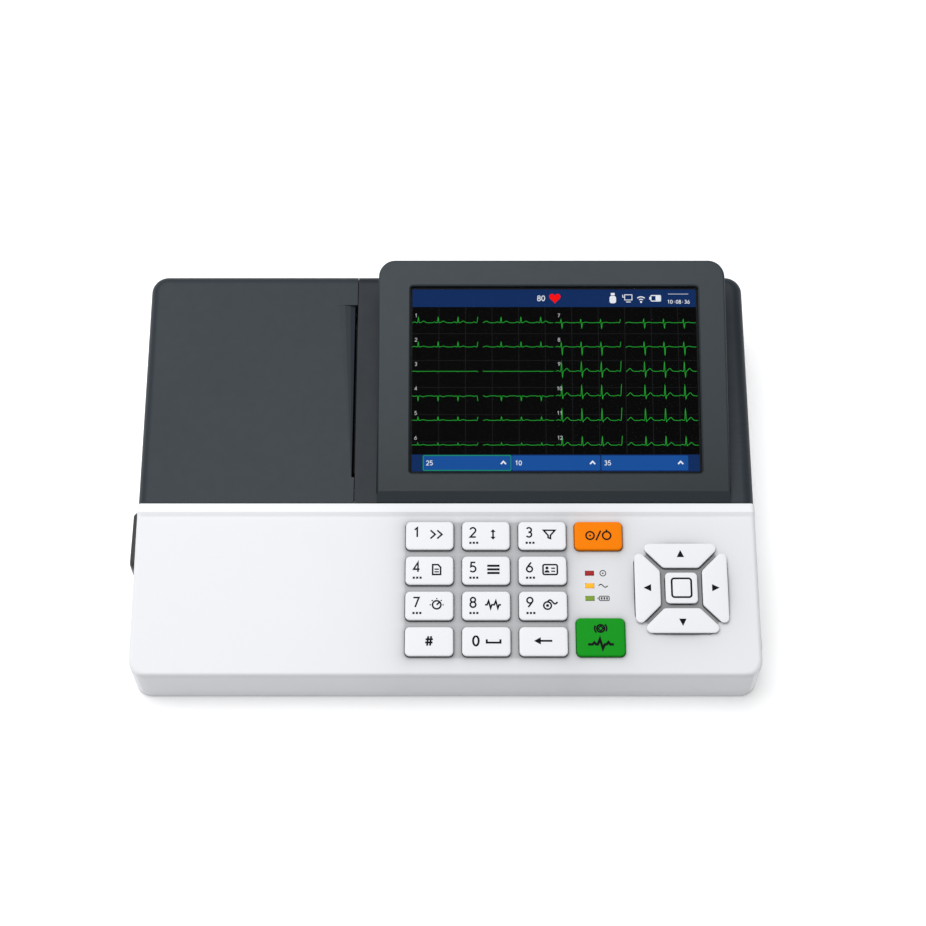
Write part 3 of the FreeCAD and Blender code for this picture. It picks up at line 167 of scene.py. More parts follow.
def top_face(node):
    """Matrix at the middle of a node's largest upward face, and half that face's size in millimetres."""
    mesh = nodes[node].data
    by_normal = {}
    for polygon in mesh.polygons:
        if polygon.normal.z > 0.5:
            by_normal.setdefault(tuple(round(part, 2) for part in polygon.normal), []).append(polygon)
    level = max(by_normal.values(), key=lambda faces: sum(face.area for face in faces))
    upward = level[0].normal.normalized()
    across = Vector((1, 0, 0))
    back = Matrix((across, upward.cross(across), upward))
    turn = back.transposed()
    spots = [back @ mesh.vertices[index].co for face in level for index in face.vertices]
    height = max(spot.z for spot in spots)
    low, high = box_of([spot for spot in spots if spot.z > height - NEAR])
    low.z = height
    place = Matrix.Translation(turn @ ((low + high) / 2)) @ turn.to_4x4()
    return place, ((high.x - low.x) / MM / 2, (high.y - low.y) / MM / 2)


def seen_from(place, node):
    """Points of a node in the coordinates of a place."""
    back = place.inverted()
    return [back @ vertex.co for vertex in nodes[node].data.vertices]


def outline_between(node, place, low, high):
    """Convex outline, in metres, of the node's points lying between two heights over a place."""
    flat = [spot.to_2d() for spot in seen_from(place, node) if low < spot.z < high]
    if len(flat) < 3:
        raise ValueError(f"no outline found on {node}")
    return [flat[index] for index in convex_hull_2d(flat)]


def node_box(node):
    """Lowest corner, highest corner and middle of a node."""
    low, high = box_of([vertex.co for vertex in nodes[node].data.vertices])
    return low, high, (low + high) / 2


def standing_spots(node, reach):
    """Middles of the node's separate pieces where they are lowest, for pieces no wider than a reach."""
    low = node_box(node)[0].z
    spots = [vertex.co for vertex in nodes[node].data.vertices if vertex.co.z < low + NEAR]
    middles = []
    while spots:
        near = [spot for spot in spots if (spot - spots[0]).length < reach]
        middles.append(sum(box_of(near), Vector((0, 0, 0))) / 2)
        spots = [spot for spot in spots if (spot - near[0]).length >= reach]
    return middles


def wall_place(centre, across, up):
    """Matrix for drawings on a wall, from a point and the directions across and up the wall."""
    across = Vector(across)
    up = Vector(up)
    turn = Matrix((across, up, across.cross(up))).transposed()
    return Matrix.Translation(centre) @ turn.to_4x4()


# Meshes.
def add_piece(name, maker, finish, node, place=Matrix()):
    """Turn a mesh maker's result into a piece with a finish, riding with a node's body."""
    mesh = bpy.data.meshes.new(name)
    bmesh.ops.recalc_face_normals(maker, faces=maker.faces)
    maker.transform(place)
    maker.to_mesh(mesh)
    maker.free()
    mesh.materials.append(finish.material)
    for polygon in mesh.polygons:
        polygon.use_smooth = True
    mesh.set_sharp_from_angle(angle=SHARP_ANGLE)
    piece = bpy.data.objects.new(name, mesh)
    bpy.context.scene.collection.objects.link(piece)
    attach(piece, body_of[node])
    return piece


def skin(maker, rings, looped=False):
    """Join equal rings of points into one closed surface, with end faces or back to the first ring."""
    rows = [[maker.verts.new(spot) for spot in ring] for ring in rings]
    following_rows = rows[1:] + rows[:1] if looped else rows[1:]
    for lower, upper in zip(rows, following_rows):
        count = len(lower)
        for step in range(count):
            following = (step + 1) % count
            maker.faces.new((lower[step], lower[following], upper[following], upper[step]))
    if not looped:
        maker.faces.new(rows[0][::-1])
        maker.faces.new(rows[-1])


def turned(maker, profile, place, segments):
    """Surface of revolution about the local Z axis from (radius, height) pairs."""
    rings = []
    for radius, height in profile:
        circle = arc((0, 0), radius, steps=segments)
        rings.append([place @ Vector((*spot, height)) for spot in circle])
    skin(maker, rings)


def block(maker, low, high, place, edge=0.0):
    """Box between two corners, with its upright edges bevelled."""
    corners = rectangle(low[0], high[0], low[1], high[1])
    if edge:
        corners = rounded(corners, edge, 1)
    skin(maker, [[place @ Vector((x, y, z)) for x, y in corners] for z in (low[2], high[2])])


def offset_outline(points, distance):
    """Outline moved inward by a distance, corner by corner along its mitres."""
    count = len(points)
    area = sum(a.x * b.y - b.x * a.y for a, b in zip(points, points[1:] + points[:1]))
    inward = 1 if area > 0 else -1
    inner = []
    for step, spot in enumerate(points):
        before = (spot - points[step - 1]).normalized()
        after = (points[(step + 1) % count] - spot).normalized()
        normal = Vector((-before.y - after.y, before.x + after.x)) * inward
        inner.append(spot + normal * (distance / max(0.5, 1 + before.dot(after))))
    return inner


# Flat shapes in millimetres.
def polar(centre, radius, degrees):
    """Point at a distance and a direction from a centre."""
    turn = math.radians(degrees)
    return (centre[0] + radius * math.cos(turn), centre[1] + radius * math.sin(turn))


def arc(centre, radius, start=0.0, end=360.0, steps=40):
    """Points on an arc between two angles in degrees; a full circle doesn't repeat its first point."""
    points = [polar(centre, radius, start + (end - start) * step / steps) for step in range(steps + 1)]
    return points[:-1] if end - start == 360.0 else points


def rectangle(left, right, low, high):
    return [(left, low), (right, low), (right, high), (left, high)]


def rounded(points, radius, steps=6):
    """Polygon with its corners rounded."""
    spots = [Vector(point) for point in points]
    curve = []
    for index, corner in enumerate(spots):
        before = (spots[index - 1] - corner).normalized()
        after = (spots[(index + 1) % len(spots)] - corner).normalized()
        half = before.angle(after) / 2
        middle = corner + (before + after).normalized() * (radius / math.sin(half))
        start = corner + before * (radius / math.tan(half)) - middle
        end = corner + after * (radius / math.tan(half)) - middle
        first = math.degrees(math.atan2(start.y, start.x))
        turn = math.degrees(math.atan2(end.y, end.x)) - first
        turn = (turn + 180) % 360 - 180
        curve += arc(middle, radius, first, first + turn, steps)
    return curve


def moved(points, x, y):
    return [(across + x, up + y) for across, up in points]


# Marks: points, width of the line in pens or none for a filled form, and whether the line is closed.
def form(points):
    return points, None, True


def stroke(points, width=1.0):
    return points, width, False


def loop(points, width=1.0):
    return points, width, True


# Pen strokes of the numerals, the colon and the hash in a box one high.
NUMERAL_WIDTH = 0.6
NUMERAL_PITCH = 0.82
SIX = [(0.47, 1.0), (0.2, 0.66)] + arc((0.3, 0.29), 0.29, 155, 505, 28)
PEN_STROKES = {
    "0": [[(0.3 + 0.58 * (x - 0.3), y) for x, y in arc((0.3, 0.5), 0.5, 90, 448, 30)]],
    "1": [[(0.1, 0.77), (0.36, 1.0), (0.36, 0.0)]],
    "2": [arc((0.3, 0.72), 0.28, 165, -38, 16) + [(0.04, 0.0), (0.6, 0.0)]],
    "3": [arc((0.28, 0.75), 0.25, 150, -80, 16) + arc((0.28, 0.27), 0.27, 80, -150, 16)],
    "4": [[(0.46, 0.0), (0.46, 1.0), (0.02, 0.28), (0.62, 0.28)]],
    "5": [[(0.54, 1.0), (0.13, 1.0), (0.09, 0.55)] + arc((0.28, 0.31), 0.3, 118, -145, 18)],
    "6": [SIX],
    "7": [[(0.02, 1.0), (0.58, 1.0), (0.2, 0.0)]],
    "8": [arc((0.3, 0.76), 0.24, -88, 268, 24) + arc((0.3, 0.26), 0.28, 88, -268, 28)],
    "9": [[(0.6 - x, 1.0 - y) for x, y in SIX]],
    ":": [[(0.3, 0.18), (0.3, 0.3)], [(0.3, 0.62), (0.3, 0.74)]],
    "#": [
        [(0.2, 0.0), (0.32, 1.0)],
        [(0.5, 0.0), (0.62, 1.0)],
        [(0.0, 0.33), (0.76, 0.33)],
        [(0.04, 0.67), (0.8, 0.67)],
    ],
}


class Drawing:
    """Marks drawn in millimetres, each a thin closed solid from a floor up to a film's height."""

    def __init__(self, film):
        self.maker = bmesh.new()
        self.film = film
        self.floor = 0.0

    def fill(self, points):
        heights = (self.floor, self.floor + self.film)
        skin(self.maker, [[Vector((x, y, height)) for x, y in points] for height in heights])

    def line(self, points, width, closed=False):
        """Line of one width along points, with mitred bends."""
        low, high = self.floor, self.floor + self.film
        spots = [Vector(point) for point in points]
        count = len(spots)
        rows = []
        for step, spot in enumerate(spots):
            ahead = spots[(step + 1) % count] - spot
            behind = spot - spots[step - 1]
            if not closed and step == 0:
                behind = ahead
            if not closed and step == count - 1:
                ahead = behind
            ahead.normalize()
            behind.normalize()
            side = Vector((-ahead.y - behind.y, ahead.x + behind.x))
            side *= width / 2 / max(MITRE_LIMIT, 1 + ahead.dot(behind))
            left, right = spot + side, spot - side
            corners = [(left, low), (right, low), (right, high), (left, high)]
            rows.append([Vector((*corner, height)) for corner, height in corners])
        skin(self.maker, rows, looped=closed)

    def draw(self, marks, pen=1.0, at=(0.0, 0.0)):
        """Draw marks about a point with a pen of one width."""
        for points, width, closed in marks:
            if width is None:
                self.fill(moved(points, *at))
            else:
                self.line(moved(points, *at), width * pen, closed)

    def numerals(self, signs, at, height, width):
        """Row of numerals centred at a point, drawn with a pen of one width."""
        tall = height - width
        pitch = NUMERAL_PITCH * tall
        start = at[0] - pitch * len(signs) / 2 + (pitch - NUMERAL_WIDTH * tall) / 2
        for place, sign in enumerate(signs):
            left = start + place * pitch
            for points in PEN_STROKES[sign]:
                self.line([(left + x * tall, at[1] + (y - 0.5) * tall) for x, y in points], width)

    def lay(self, name, finish, node, place, slot=None, raised=None):
        """Lay the drawing on a place, raised by a function of x and y in millimetres."""
        if raised:
            for vertex in self.maker.verts:
                vertex.co.z += raised(vertex.co.x, vertex.co.y)
        add_piece(name, self.maker, finish, node, place @ SCALE)


# Finishes.
COLOUR = "NodeSocketColor"
VALUE = "NodeSocketFloat"
VECTOR = "NodeSocketVector"


class Wiring:
    """Adds nodes to one tree and links them."""

    def __init__(self, tree):
        self.tree = tree

    def add(self, kind, inputs=None, **settings):
        node = self.tree.nodes.new(kind)
        for name, value in settings.items():
            setattr(node, name, value)
        for name, value in (inputs or {}).items():
            self.feed(node, name, value)
        return node

    def feed(self, node, name, value):
        socket = node.inputs[name]
        if isinstance(value, bpy.types.NodeSocket):
            self.tree.links.new(value, socket)
        elif socket.type == "RGBA" and len(value) == 3:
            socket.default_value = (*value, 1.0)
        else:
            socket.default_value = value

    def effect(self, name, **inputs):
        """Result of a shared effect."""
        return self.add("ShaderNodeGroup", inputs, node_tree=bpy.data.node_groups[name]).outputs[0]

    def math(self, operation, first, second):
        return self.add("ShaderNodeMath", {0: first, 1: second}, operation=operation).outputs[0]

    def vector(self, operation, first, second=(0.0, 0.0, 0.0)):
        return self.add("ShaderNodeVectorMath", {0: first, 1: second}, operation=operation).outputs[0]

    def place(self):
        return self.add("ShaderNodeTexCoord").outputs["Object"]

    def stretched(self, scale, turn=(0.0, 0.0, 0.0)):
        inputs = {"Vector": self.place(), "Rotation": turn, "Scale": scale}
        return self.add("ShaderNodeMapping", inputs).outputs["Vector"]

    def noise(self, place, scale, detail, roughness=0.5):
        inputs = {"Vector": place, "Scale": scale, "Detail": detail, "Roughness": roughness}
        return self.add("ShaderNodeTexNoise", inputs).outputs["Fac"]

    def bricks(self, colours, scale, gap, offset=0.5):
        """Oblongs in two colours with lines of a third between them."""
        inputs = {"Vector": self.place(), "Scale": scale, "Mortar Size": gap}
        inputs.update(zip(("Color1", "Color2", "Mortar"), colours))
        return self.add("ShaderNodeTexBrick", inputs, offset=offset).outputs

    def mix(self, share, first, second):
        """Colour between two others, on the sockets that the node keeps for colours."""
        return self.add("ShaderNodeMix", {0: share, 6: first, 7: second}, data_type="RGBA").outputs[2]


def new_effect(name, inputs, outputs):
    """Empty shader node group; gives its wiring, its inputs and its end node."""
    tree = bpy.data.node_groups.new(name, "ShaderNodeTree")
    for label, kind in inputs.items():
        tree.interface.new_socket(label, in_out="INPUT", socket_type=kind)
    for label, kind in outputs.items():
        tree.interface.new_socket(label, in_out="OUTPUT", socket_type=kind)
    wiring = Wiring(tree)
    return wiring, wiring.add("NodeGroupInput").outputs, wiring.add("NodeGroupOutput")


def make_grain_effect():
    """Pebbled surface of a spark-eroded mould."""
    wiring, given, result = new_effect("Moulded grain", {"Scale": VALUE}, {"Height": VALUE})
    place = wiring.place()
    inputs = {"Vector": place, "Scale": given["Scale"]}
    pebbles = wiring.add("ShaderNodeTexVoronoi", inputs, feature="SMOOTH_F1").outputs["Distance"]
    finer = wiring.noise(place, wiring.math("MULTIPLY", given["Scale"], 2.3), detail=2.0)
    wiring.feed(result, "Height", wiring.math("SUBTRACT", finer, pebbles))


def make_tone_effect():
    """Slow drift in brightness, as resin and light ageing give."""
    inputs = {"Color": COLOUR, "Drift": VALUE, "Scale": VALUE}
    wiring, given, result = new_effect("Tone drift", inputs, {"Color": COLOUR})
    noise = wiring.noise(wiring.place(), given["Scale"], detail=4.0, roughness=0.55)
    swing = wiring.math("MULTIPLY", wiring.math("SUBTRACT", noise, 0.5), given["Drift"])
    value = wiring.math("ADD", swing, 1.0)
    tinted = wiring.add("ShaderNodeHueSaturation", {"Value": value, "Color": given["Color"]})
    wiring.feed(result, "Color", tinted.outputs["Color"])


def make_handling_effect():
    """Uneven gloss where hands and cloths have been."""
    inputs = {"Roughness": VALUE, "Spread": VALUE, "Scale": VALUE}
    wiring, given, result = new_effect("Handled gloss", inputs, {"Roughness": VALUE})
    place = wiring.place()
    broad = wiring.noise(place, given["Scale"], detail=3.0)
    specks = wiring.noise(place, wiring.math("MULTIPLY", given["Scale"], 17.0), detail=2.0)
    centred = wiring.math("SUBTRACT", wiring.math("ADD", broad, specks), 1.0)
    swing = wiring.math("MULTIPLY", centred, given["Spread"])
    wiring.feed(result, "Roughness", wiring.math("ADD", swing, given["Roughness"]))


def make_scuff_effect():
    """Sparse fine scuffs, as a mask."""
    wiring, given, result = new_effect("Fine scuffs", {"Scale": VALUE, "Amount": VALUE}, {"Mask": VALUE})
    place = wiring.stretched((1.0, 9.0, 4.0), turn=(0.3, 0.5, 0.9))
    hairs = wiring.noise(place, given["Scale"], detail=3.0)
    patches = wiring.noise(wiring.place(), wiring.math("MULTIPLY", given["Scale"], 0.12), detail=1.0)
    product = wiring.math("MULTIPLY", hairs, patches)
    raised = wiring.add("ShaderNodeMapRange", {"Value": product, "From Min": 0.33, "From Max": 0.46})
    wiring.feed(result, "Mask", wiring.math("MULTIPLY", raised.outputs["Result"], given["Amount"]))


def make_brush_effect():
    """Lines of rolled or turned metal along one axis."""
    wiring, given, result = new_effect("Brushed lines", {"Scale": VALUE}, {"Height": VALUE})
    lines = wiring.noise(wiring.stretched((1.0, 0.03, 1.0)), given["Scale"], detail=5.0)
    wiring.feed(result, "Height", lines)


def make_shade_effect():
    """Painted shade round a grid of rounded oblongs, deepest at their edges and fading outward."""
    inputs = dict.fromkeys(("First", "Pitch", "Last", "Half"), VECTOR)
    inputs.update(dict.fromkeys(("Corner", "Fade", "Amount"), VALUE))
    wiring, given, result = new_effect("Painted shade", inputs, {"Light": VALUE})
    relative = wiring.vector("SUBTRACT", wiring.place(), given["First"])
    steps = wiring.vector("DIVIDE", relative, given["Pitch"])
    nearest = wiring.vector("FLOOR", wiring.vector("ADD", steps, (0.5, 0.5, 0.5)))
    nearest = wiring.vector("MINIMUM", wiring.vector("MAXIMUM", nearest), given["Last"])
    middle = wiring.vector("MULTIPLY", nearest, given["Pitch"])
    away = wiring.vector("ABSOLUTE", wiring.vector("SUBTRACT", relative, middle))
    outside = wiring.vector("MAXIMUM", wiring.vector("SUBTRACT", away, given["Half"]))
    reach = wiring.add("ShaderNodeVectorMath", {0: outside}, operation="LENGTH").outputs["Value"]
    distance = wiring.math("MAXIMUM", wiring.math("SUBTRACT", reach, given["Corner"]), 0.0)
    falling = wiring.math("ADD", wiring.math("DIVIDE", distance, given["Fade"]), 1.0)
    taken = wiring.math("DIVIDE", given["Amount"], falling)
    wiring.feed(result, "Light", wiring.math("SUBTRACT", 1.0, taken))


EFFECTS = (
    make_grain_effect,
    make_tone_effect,
    make_handling_effect,
    make_scuff_effect,
    make_brush_effect,
    make_shade_effect,
)


class Finish(Wiring):
    """A material with one shader, uneven gloss and constants on the sockets named."""

    def __init__(self, name, roughness, spread, scale, **constants):
        self.material = bpy.data.materials.new(name)
        self.material.use_nodes = True
        super().__init__(self.material.node_tree)
        self.shader = self.tree.nodes["Principled BSDF"]
        self.set("Roughness", self.effect("Handled gloss", Roughness=roughness, Spread=spread, Scale=scale))
        for socket, value in constants.items():
            self.set(socket.replace("_", " "), value)

    def set(self, socket, value):
        self.feed(self.shader, socket, value)

    def tone(self, colour, drift, scale):
        """Drifting colour."""
        return self.effect("Tone drift", Color=colour, Drift=drift, Scale=scale)

    def base(self):
        """What now feeds the base colour."""
        return self.shader.inputs["Base Color"].links[0].from_socket

    def bump(self, height, depth):
        inputs = {"Height": height, "Distance": depth, "Strength": 1.0}
        self.set("Normal", self.add("ShaderNodeBump", inputs).outputs["Normal"])


def moulding(name, colour, roughness, grain, depth, drift, specular, scuffs=0.0):
    """Textured moulded plastic."""
    finish = Finish(name, roughness, spread=0.10, scale=13.0, Specular_IOR_Level=specular)
    finish.set("Base Color", finish.tone(colour, drift, scale=21.0))
    if scuffs:
        mask = finish.effect("Fine scuffs", Scale=90.0, Amount=scuffs)
        lighter = [min(1.0, part * 1.6 + 0.01) for part in colour]
        finish.set("Base Color", finish.mix(mask, finish.base(), lighter))
    finish.bump(finish.effect("Moulded grain", Scale=1.0 / grain), depth)
    return finish


def metal(name, colour, roughness, lines, depth):
    """Rolled, turned or plated metal."""
    finish = Finish(name, roughness, spread=0.16, scale=55.0, Metallic=1.0)
    finish.set("Base Color", finish.tone(colour, drift=0.10, scale=40.0))
    finish.bump(finish.effect("Brushed lines", Scale=lines), depth * MM)
    return finish


def glow(name, colour):
    """Lit part of the screen."""
    unlit = {"Base_Color": (0.002, 0.002, 0.002), "Specular_IOR_Level": 0.0}
    finish = Finish(name, roughness=0.5, spread=0.1, scale=30.0, Emission_Strength=1.0, **unlit)
    finish.set("Emission Color", finish.tone(colour, drift=0.06, scale=60.0))
    return finish


def lens_finish(name, colour, light):
    """Tinted light guide with a little light of its own."""
    constants = {"Emission_Strength": light, "Specular_IOR_Level": 0.12}
    finish = Finish(name, roughness=0.22, spread=0.10, scale=80.0, **constants)
    tone = finish.tone(colour, drift=0.12, scale=150.0)
    finish.set("Base Color", tone)
    finish.set("Emission Color", tone)
    return finish


def window_finish():
    """Clear cover window with an anti-glare face."""
    constants = {"Specular_IOR_Level": 0.04, "Alpha": 0.03}
    finish = Finish("cover window", roughness=0.18, spread=0.06, scale=25.0, **constants)
    finish.set("Base Color", finish.tone((0.01, 0.011, 0.012), drift=0.1, scale=15.0))
    return finish


def paper_finish():
    """Chart paper wound in layers, with a faint printed grid."""
    finish = Finish("chart paper", roughness=0.72, spread=0.10, scale=60.0)
    colours = ((0.86, 0.80, 0.77), (0.88, 0.81, 0.78), (0.75, 0.30, 0.30))
    grid = finish.bricks(colours, scale=100.0, gap=0.012, offset=0.0)
    finish.set("Base Color", finish.tone(grid["Color"], drift=0.08, scale=70.0))
    finish.bump(finish.effect("Brushed lines", Scale=5200.0), 0.03 * MM)
    return finish


def board_finish():
    """Solder mask over copper tracks."""
    finish = Finish("circuit board", roughness=0.35, spread=0.10, scale=70.0)
    colours = ((0.012, 0.11, 0.04), (0.016, 0.14, 0.05), (0.03, 0.21, 0.09))
    tracks = finish.bricks(colours, scale=160.0, gap=0.05)
    finish.set("Base Color", tracks["Color"])
    finish.bump(tracks["Fac"], 0.02 * MM)
    return finish


# Corner and edge roundings of the key solids, corner of the cursor cross and fading of the painted shade.
KEY_CORNER = 2.5
KEY_EDGE = 0.7
CROSS_CORNER = 20.0
SHADE_FADE = 0.8
# Foot and back of the lip, edge of the front wall and foot of the screen along Y.
LIP_FOOT = -28.0
LIP_BACK = -19.0
FRONT_EDGE = -109.2
SCREEN_FOOT = -13.0
SCREEN_FADE = 45.0
# Faces of the side walls along X, and a reach past the case.
SIDE = 157.2
BEYOND = 300.0
# Share of the base colour that painted shade takes away, where it is deepest.
DECK_SHADE = 0.11
FRONT_SHADE = 0.28
STRIP_SHADE = 0.36
BEZEL_SHADE = 0.40
KEY_SHADE = 0.55
FIELD_SHADE = 0.38
SINGLE_SHADE = 0.6
CROSS_SHADE = 0.68


def shade_patch(low, high, corner, amount, pitch=(1.0, 1.0), last=(0, 0), fade=SHADE_FADE):
    """Inputs of the painted shade for an oblong between two corners, or for a grid that it starts."""
    half = (high - low) / 2 - Vector((corner, corner)) * MM
    return {
        "First": (*((low + high) / 2), 0.0),
        "Pitch": (*pitch, 1.0),
        "Last": (*last, 0.0),
        "Half": (*half, 1.0),
        "Corner": corner * MM,
        "Fade": fade * MM,
        "Amount": amount,
    }


def zone(amount, left=-BEYOND, right=BEYOND, front=-BEYOND, rear=BEYOND, fade=SHADE_FADE):
    """Inputs of the painted shade for all that lies between four distances along X and Y."""
    return shade_patch(Vector((left, front)) * MM, Vector((right, rear)) * MM, 0.0, amount, fade=fade)


def case_zones():
    """Where painted shade darkens the case: deck, rear and sides a little, leaving the lip lighter as a
    painted highlight, and the front wall more.
    """
    return [
        zone(DECK_SHADE, rear=LIP_FOOT),
        zone(DECK_SHADE, front=LIP_BACK),
        zone(DECK_SHADE, right=-SIDE),
        zone(DECK_SHADE, left=SIDE),
        zone(FRONT_SHADE, rear=FRONT_EDGE),
    ]


def key_patches():
    """Where painted shade darkens the deck round the keys: each key of the field, the field, two single keys
    and the cross.
    """
    corners = {}
    for label in KEY_NAMES:
        place, half = top_face(label)
        half = Vector(half) * MM + Vector((KEY_EDGE, KEY_EDGE)) * MM
        corners[label] = (place.translation.to_2d() - half, place.translation.to_2d() + half)
    first = corners["key_hash"]
    pitch = (corners["key_0"][0].x - first[0].x, corners["key_7"][0].y - first[0].y)
    cross_low = Vector((corners["key_left"][0].x, corners["key_down"][0].y))
    cross_high = Vector((corners["key_right"][1].x, corners["key_up"][1].y))
    return [
        shade_patch(*first, KEY_CORNER, KEY_SHADE, pitch, (2, 3)),
        shade_patch(first[0], corners["key_3"][1], KEY_CORNER, FIELD_SHADE),
        shade_patch(*corners["key_power"], KEY_CORNER, SINGLE_SHADE),
        shade_patch(*corners["key_start"], KEY_CORNER, SINGLE_SHADE),
        shade_patch(cross_low, cross_high, CROSS_CORNER, CROSS_SHADE),
    ]


def shade(finish, patches, join="MULTIPLY"):
    """Paint shade into a finish's base colour where patches lie, joined by a math operation where they
    overlap.
    """
    light, *others = [finish.effect("Painted shade", **patch) for patch in patches]
    for other in others:
        light = finish.math(join, light, other)
    finish.set("Base Color", finish.mix(light, (0.0, 0.0, 0.0), finish.base()))


# Name, colour, roughness, scale of the lines and their depth in millimetres.
METALS = {
    "steel": ("bright steel", (0.62, 0.62, 0.63), 0.30, 2600.0, 0.01),
    "zinc_sheet": ("zinc-plated sheet", (0.55, 0.56, 0.56), 0.42, 900.0, 0.02),
    "head_bar": ("black anodised bar", (0.022, 0.022, 0.024), 0.55, 1600.0, 0.02),
    "brass": ("plated brass", (0.72, 0.55, 0.27), 0.26, 2400.0, 0.01),
    "plated": ("nickel plate", (0.66, 0.65, 0.62), 0.22, 2400.0, 0.006),
}
# Name, colour and strength of the light.
LENSES = {
    "red_lamp": ("red lens", (0.30, 0.004, 0.006), 0.15),
    "amber_lamp": ("amber lens", (0.95, 0.42, 0.01), 0.20),
    "green_lamp": ("green lens", (0.16, 0.27, 0.02), 0.20),
}
# Nodes whose tone differs from that of the other nodes in their slot: the rear cover carries painted shade
# on its left part, the strip beside the screen.
OWN_FINISH = {"rear_cover": "fixed_cover"}
finishes = {}


def make_finishes(case, keys):
    """Every effect once, then one finish for each material slot of the frame."""
    for make_effect in EFFECTS:
        make_effect()
    # Name, colour, roughness, size and depth of the grain, drift of the tone, specular level and scuffs.
    mouldings = {
        "white_case": ("white moulding", case.case_colour, 0.52, 1.0, 1.0, 0.025, 0.3),
        "grey_base": ("grey moulding", case.base_colour, 0.58, 1.4, 1.6, 0.05, 0.35, 0.25),
        "dark_cover": ("door moulding", case.door_colour, 0.48, 1.0, 1.0, 0.06, 0.20, 0.10),
        "fixed_cover": ("cover moulding", case.cover_colour, 0.48, 1.0, 1.0, 0.06, 0.20, 0.10),
        "dark_bezel": ("bezel moulding", case.bezel_colour, 0.42, 0.8, 0.8, 0.05, 0.20, 0.06),
        "grey_panel": ("light moulding", case.panel_colour, 0.5, 1.0, 1.0, 0.05, 0.35),
        "black_plastic": ("black moulding", case.black_colour, 0.48, 1.0, 1.0, 0.10, 0.40),
        "gear_plastic": ("natural gear plastic", (0.70, 0.69, 0.63), 0.42, 0.6, 0.5, 0.06, 0.4),
        "rubber": ("black rubber", (0.018, 0.018, 0.02), 0.78, 0.7, 2.0, 0.12, 0.25),
        "mat_rubber": ("silicone mat", (0.60, 0.60, 0.58), 0.70, 0.6, 1.0, 0.08, 0.25),
        "ceramic": ("glazed ceramic", (0.62, 0.60, 0.55), 0.25, 1.0, 0.3, 0.05, 0.5),
        "motor_can": ("motor can paint", (0.03, 0.03, 0.033), 0.36, 1.0, 1.0, 0.08, 0.5),
        "speaker_frame": ("speaker cone", (0.02, 0.02, 0.022), 0.66, 1.0, 2.0, 0.1, 0.3),
        "battery_wrap": ("battery wrap", (0.02, 0.07, 0.22), 0.32, 2.0, 1.0, 0.06, 0.5),
        "screen": ("screen border", (0.004, 0.004, 0.0045), 0.5, 1.0, 0.3, 0.1, 0.1),
        "white_key": ("white key", keys.key_colour, 0.44, 0.7, 0.5, 0.02, 0.34),
        "orange_key": ("orange key", keys.power_colour, 0.5, 0.7, 0.5, 0.03, 0.04),
        "green_key": ("green key", keys.start_colour, 0.5, 0.7, 0.5, 0.05, 0.06),
        "key_skirt_shade": ("painted shade on key sides", keys.skirt_colour, 0.6, 0.7, 1.0, 0.05, 0.2),
        "ink": ("key ink", keys.ink_colour, 0.6, 0.7, 0.5, 0.15, 0.05),
        "lamp_ink": ("lamp sign ink", (0.03, 0.03, 0.034), 0.55, 0.7, 0.5, 0.15, 0.2),
    }
    for slot, (name, colour, roughness, size, depth, *rest) in mouldings.items():
        grain = (case.grain_size * size, case.grain_depth * depth)
        finishes[slot] = moulding(name, colour, roughness, *grain, *rest)
    finishes.update({slot: metal(*given) for slot, given in METALS.items()})
    finishes.update({slot: lens_finish(*given) for slot, given in LENSES.items()})
    finishes["paper"] = paper_finish()
    finishes["circuit_board"] = board_finish()
    finishes["window"] = window_finish()
    # Painted highlight on the case's lip and painted shade on its front wall.
    shade(finishes["white_case"], case_zones(), "MINIMUM")
    # Painted shade on the deck round and between the keys.
    shade(finishes["white_case"], key_patches())
    # Painted shade on the rear cover left of the middle, the strip beside the screen.
    shade(finishes["fixed_cover"], [zone(STRIP_SHADE, right=0.0)])
    # Painted shade on the bezel, darker towards the screen's foot.
    shade(finishes["dark_bezel"], [zone(BEZEL_SHADE, rear=SCREEN_FOOT, fade=SCREEN_FADE)])


class ECG_OT_dress_frame(Operator):
    """Give every solid of the frame its procedural finish"""

    bl_idname = "ecg.dress_frame"
    bl_label = "Dress frame"

    def execute(self, context):
        make_finishes(context.scene.ecg_case, context.scene.ecg_keys)
        for name, node in nodes.items():
            node.material_slots[0].material = finishes[OWN_FINISH.get(name, slot_of[name])].material
        return {"FINISHED"}


# Keys.
KEY_NAMES = [name for name in nodes if name.startswith("key_") and body_of[name] == name]
# Direction of the arrow on each cursor key, in degrees, and its shift from the middle of the key.
PAD_ARROWS = {
    "key_up": (90, (0.0, 0.6)),
    "key_left": (180, (0.2, 0.0)),
    "key_down": (270, (0.0, -0.6)),
    "key_right": (0, (-0.2, 0.0)),
}
PAD_KEYS = ("key_ok", *PAD_ARROWS)
# Roundings of the caps in the cursor cross and half the gap between its arrow keys, measured along X.
PAD_CORNER = 2.6
OK_CORNER = 2.2
PAD_EDGE = 0.55
PAD_BEVEL = 1.55
# The overhang of these caps starts this far under their edge.
PAD_STEP = 0.03
# Their outlines are met by rays in equal turns, the first one this share of a turn off the X axis. The rays
# are longer than any key, in metres.
PAD_DIRECTIONS = 192
FIRST_DIRECTION = 0.37
FAR = 1.0
# The foot's outline is taken between these heights over the top face.
FOOT_LOW = -1.1
FOOT_HIGH = -0.6
FLANGE_HEIGHT = 1.5
FLANGE_WIDTH = 0.7
EDGE_STEPS = 6
# Sizes of the rings on the top, as shares of its edge.
TOP_SHARES = (0.85, 0.65, 0.42, 0.2, 0.04)
# Faces steeper than this belong to the skirt, which gets painted shade.
SKIRT_SLOPE = 0.2


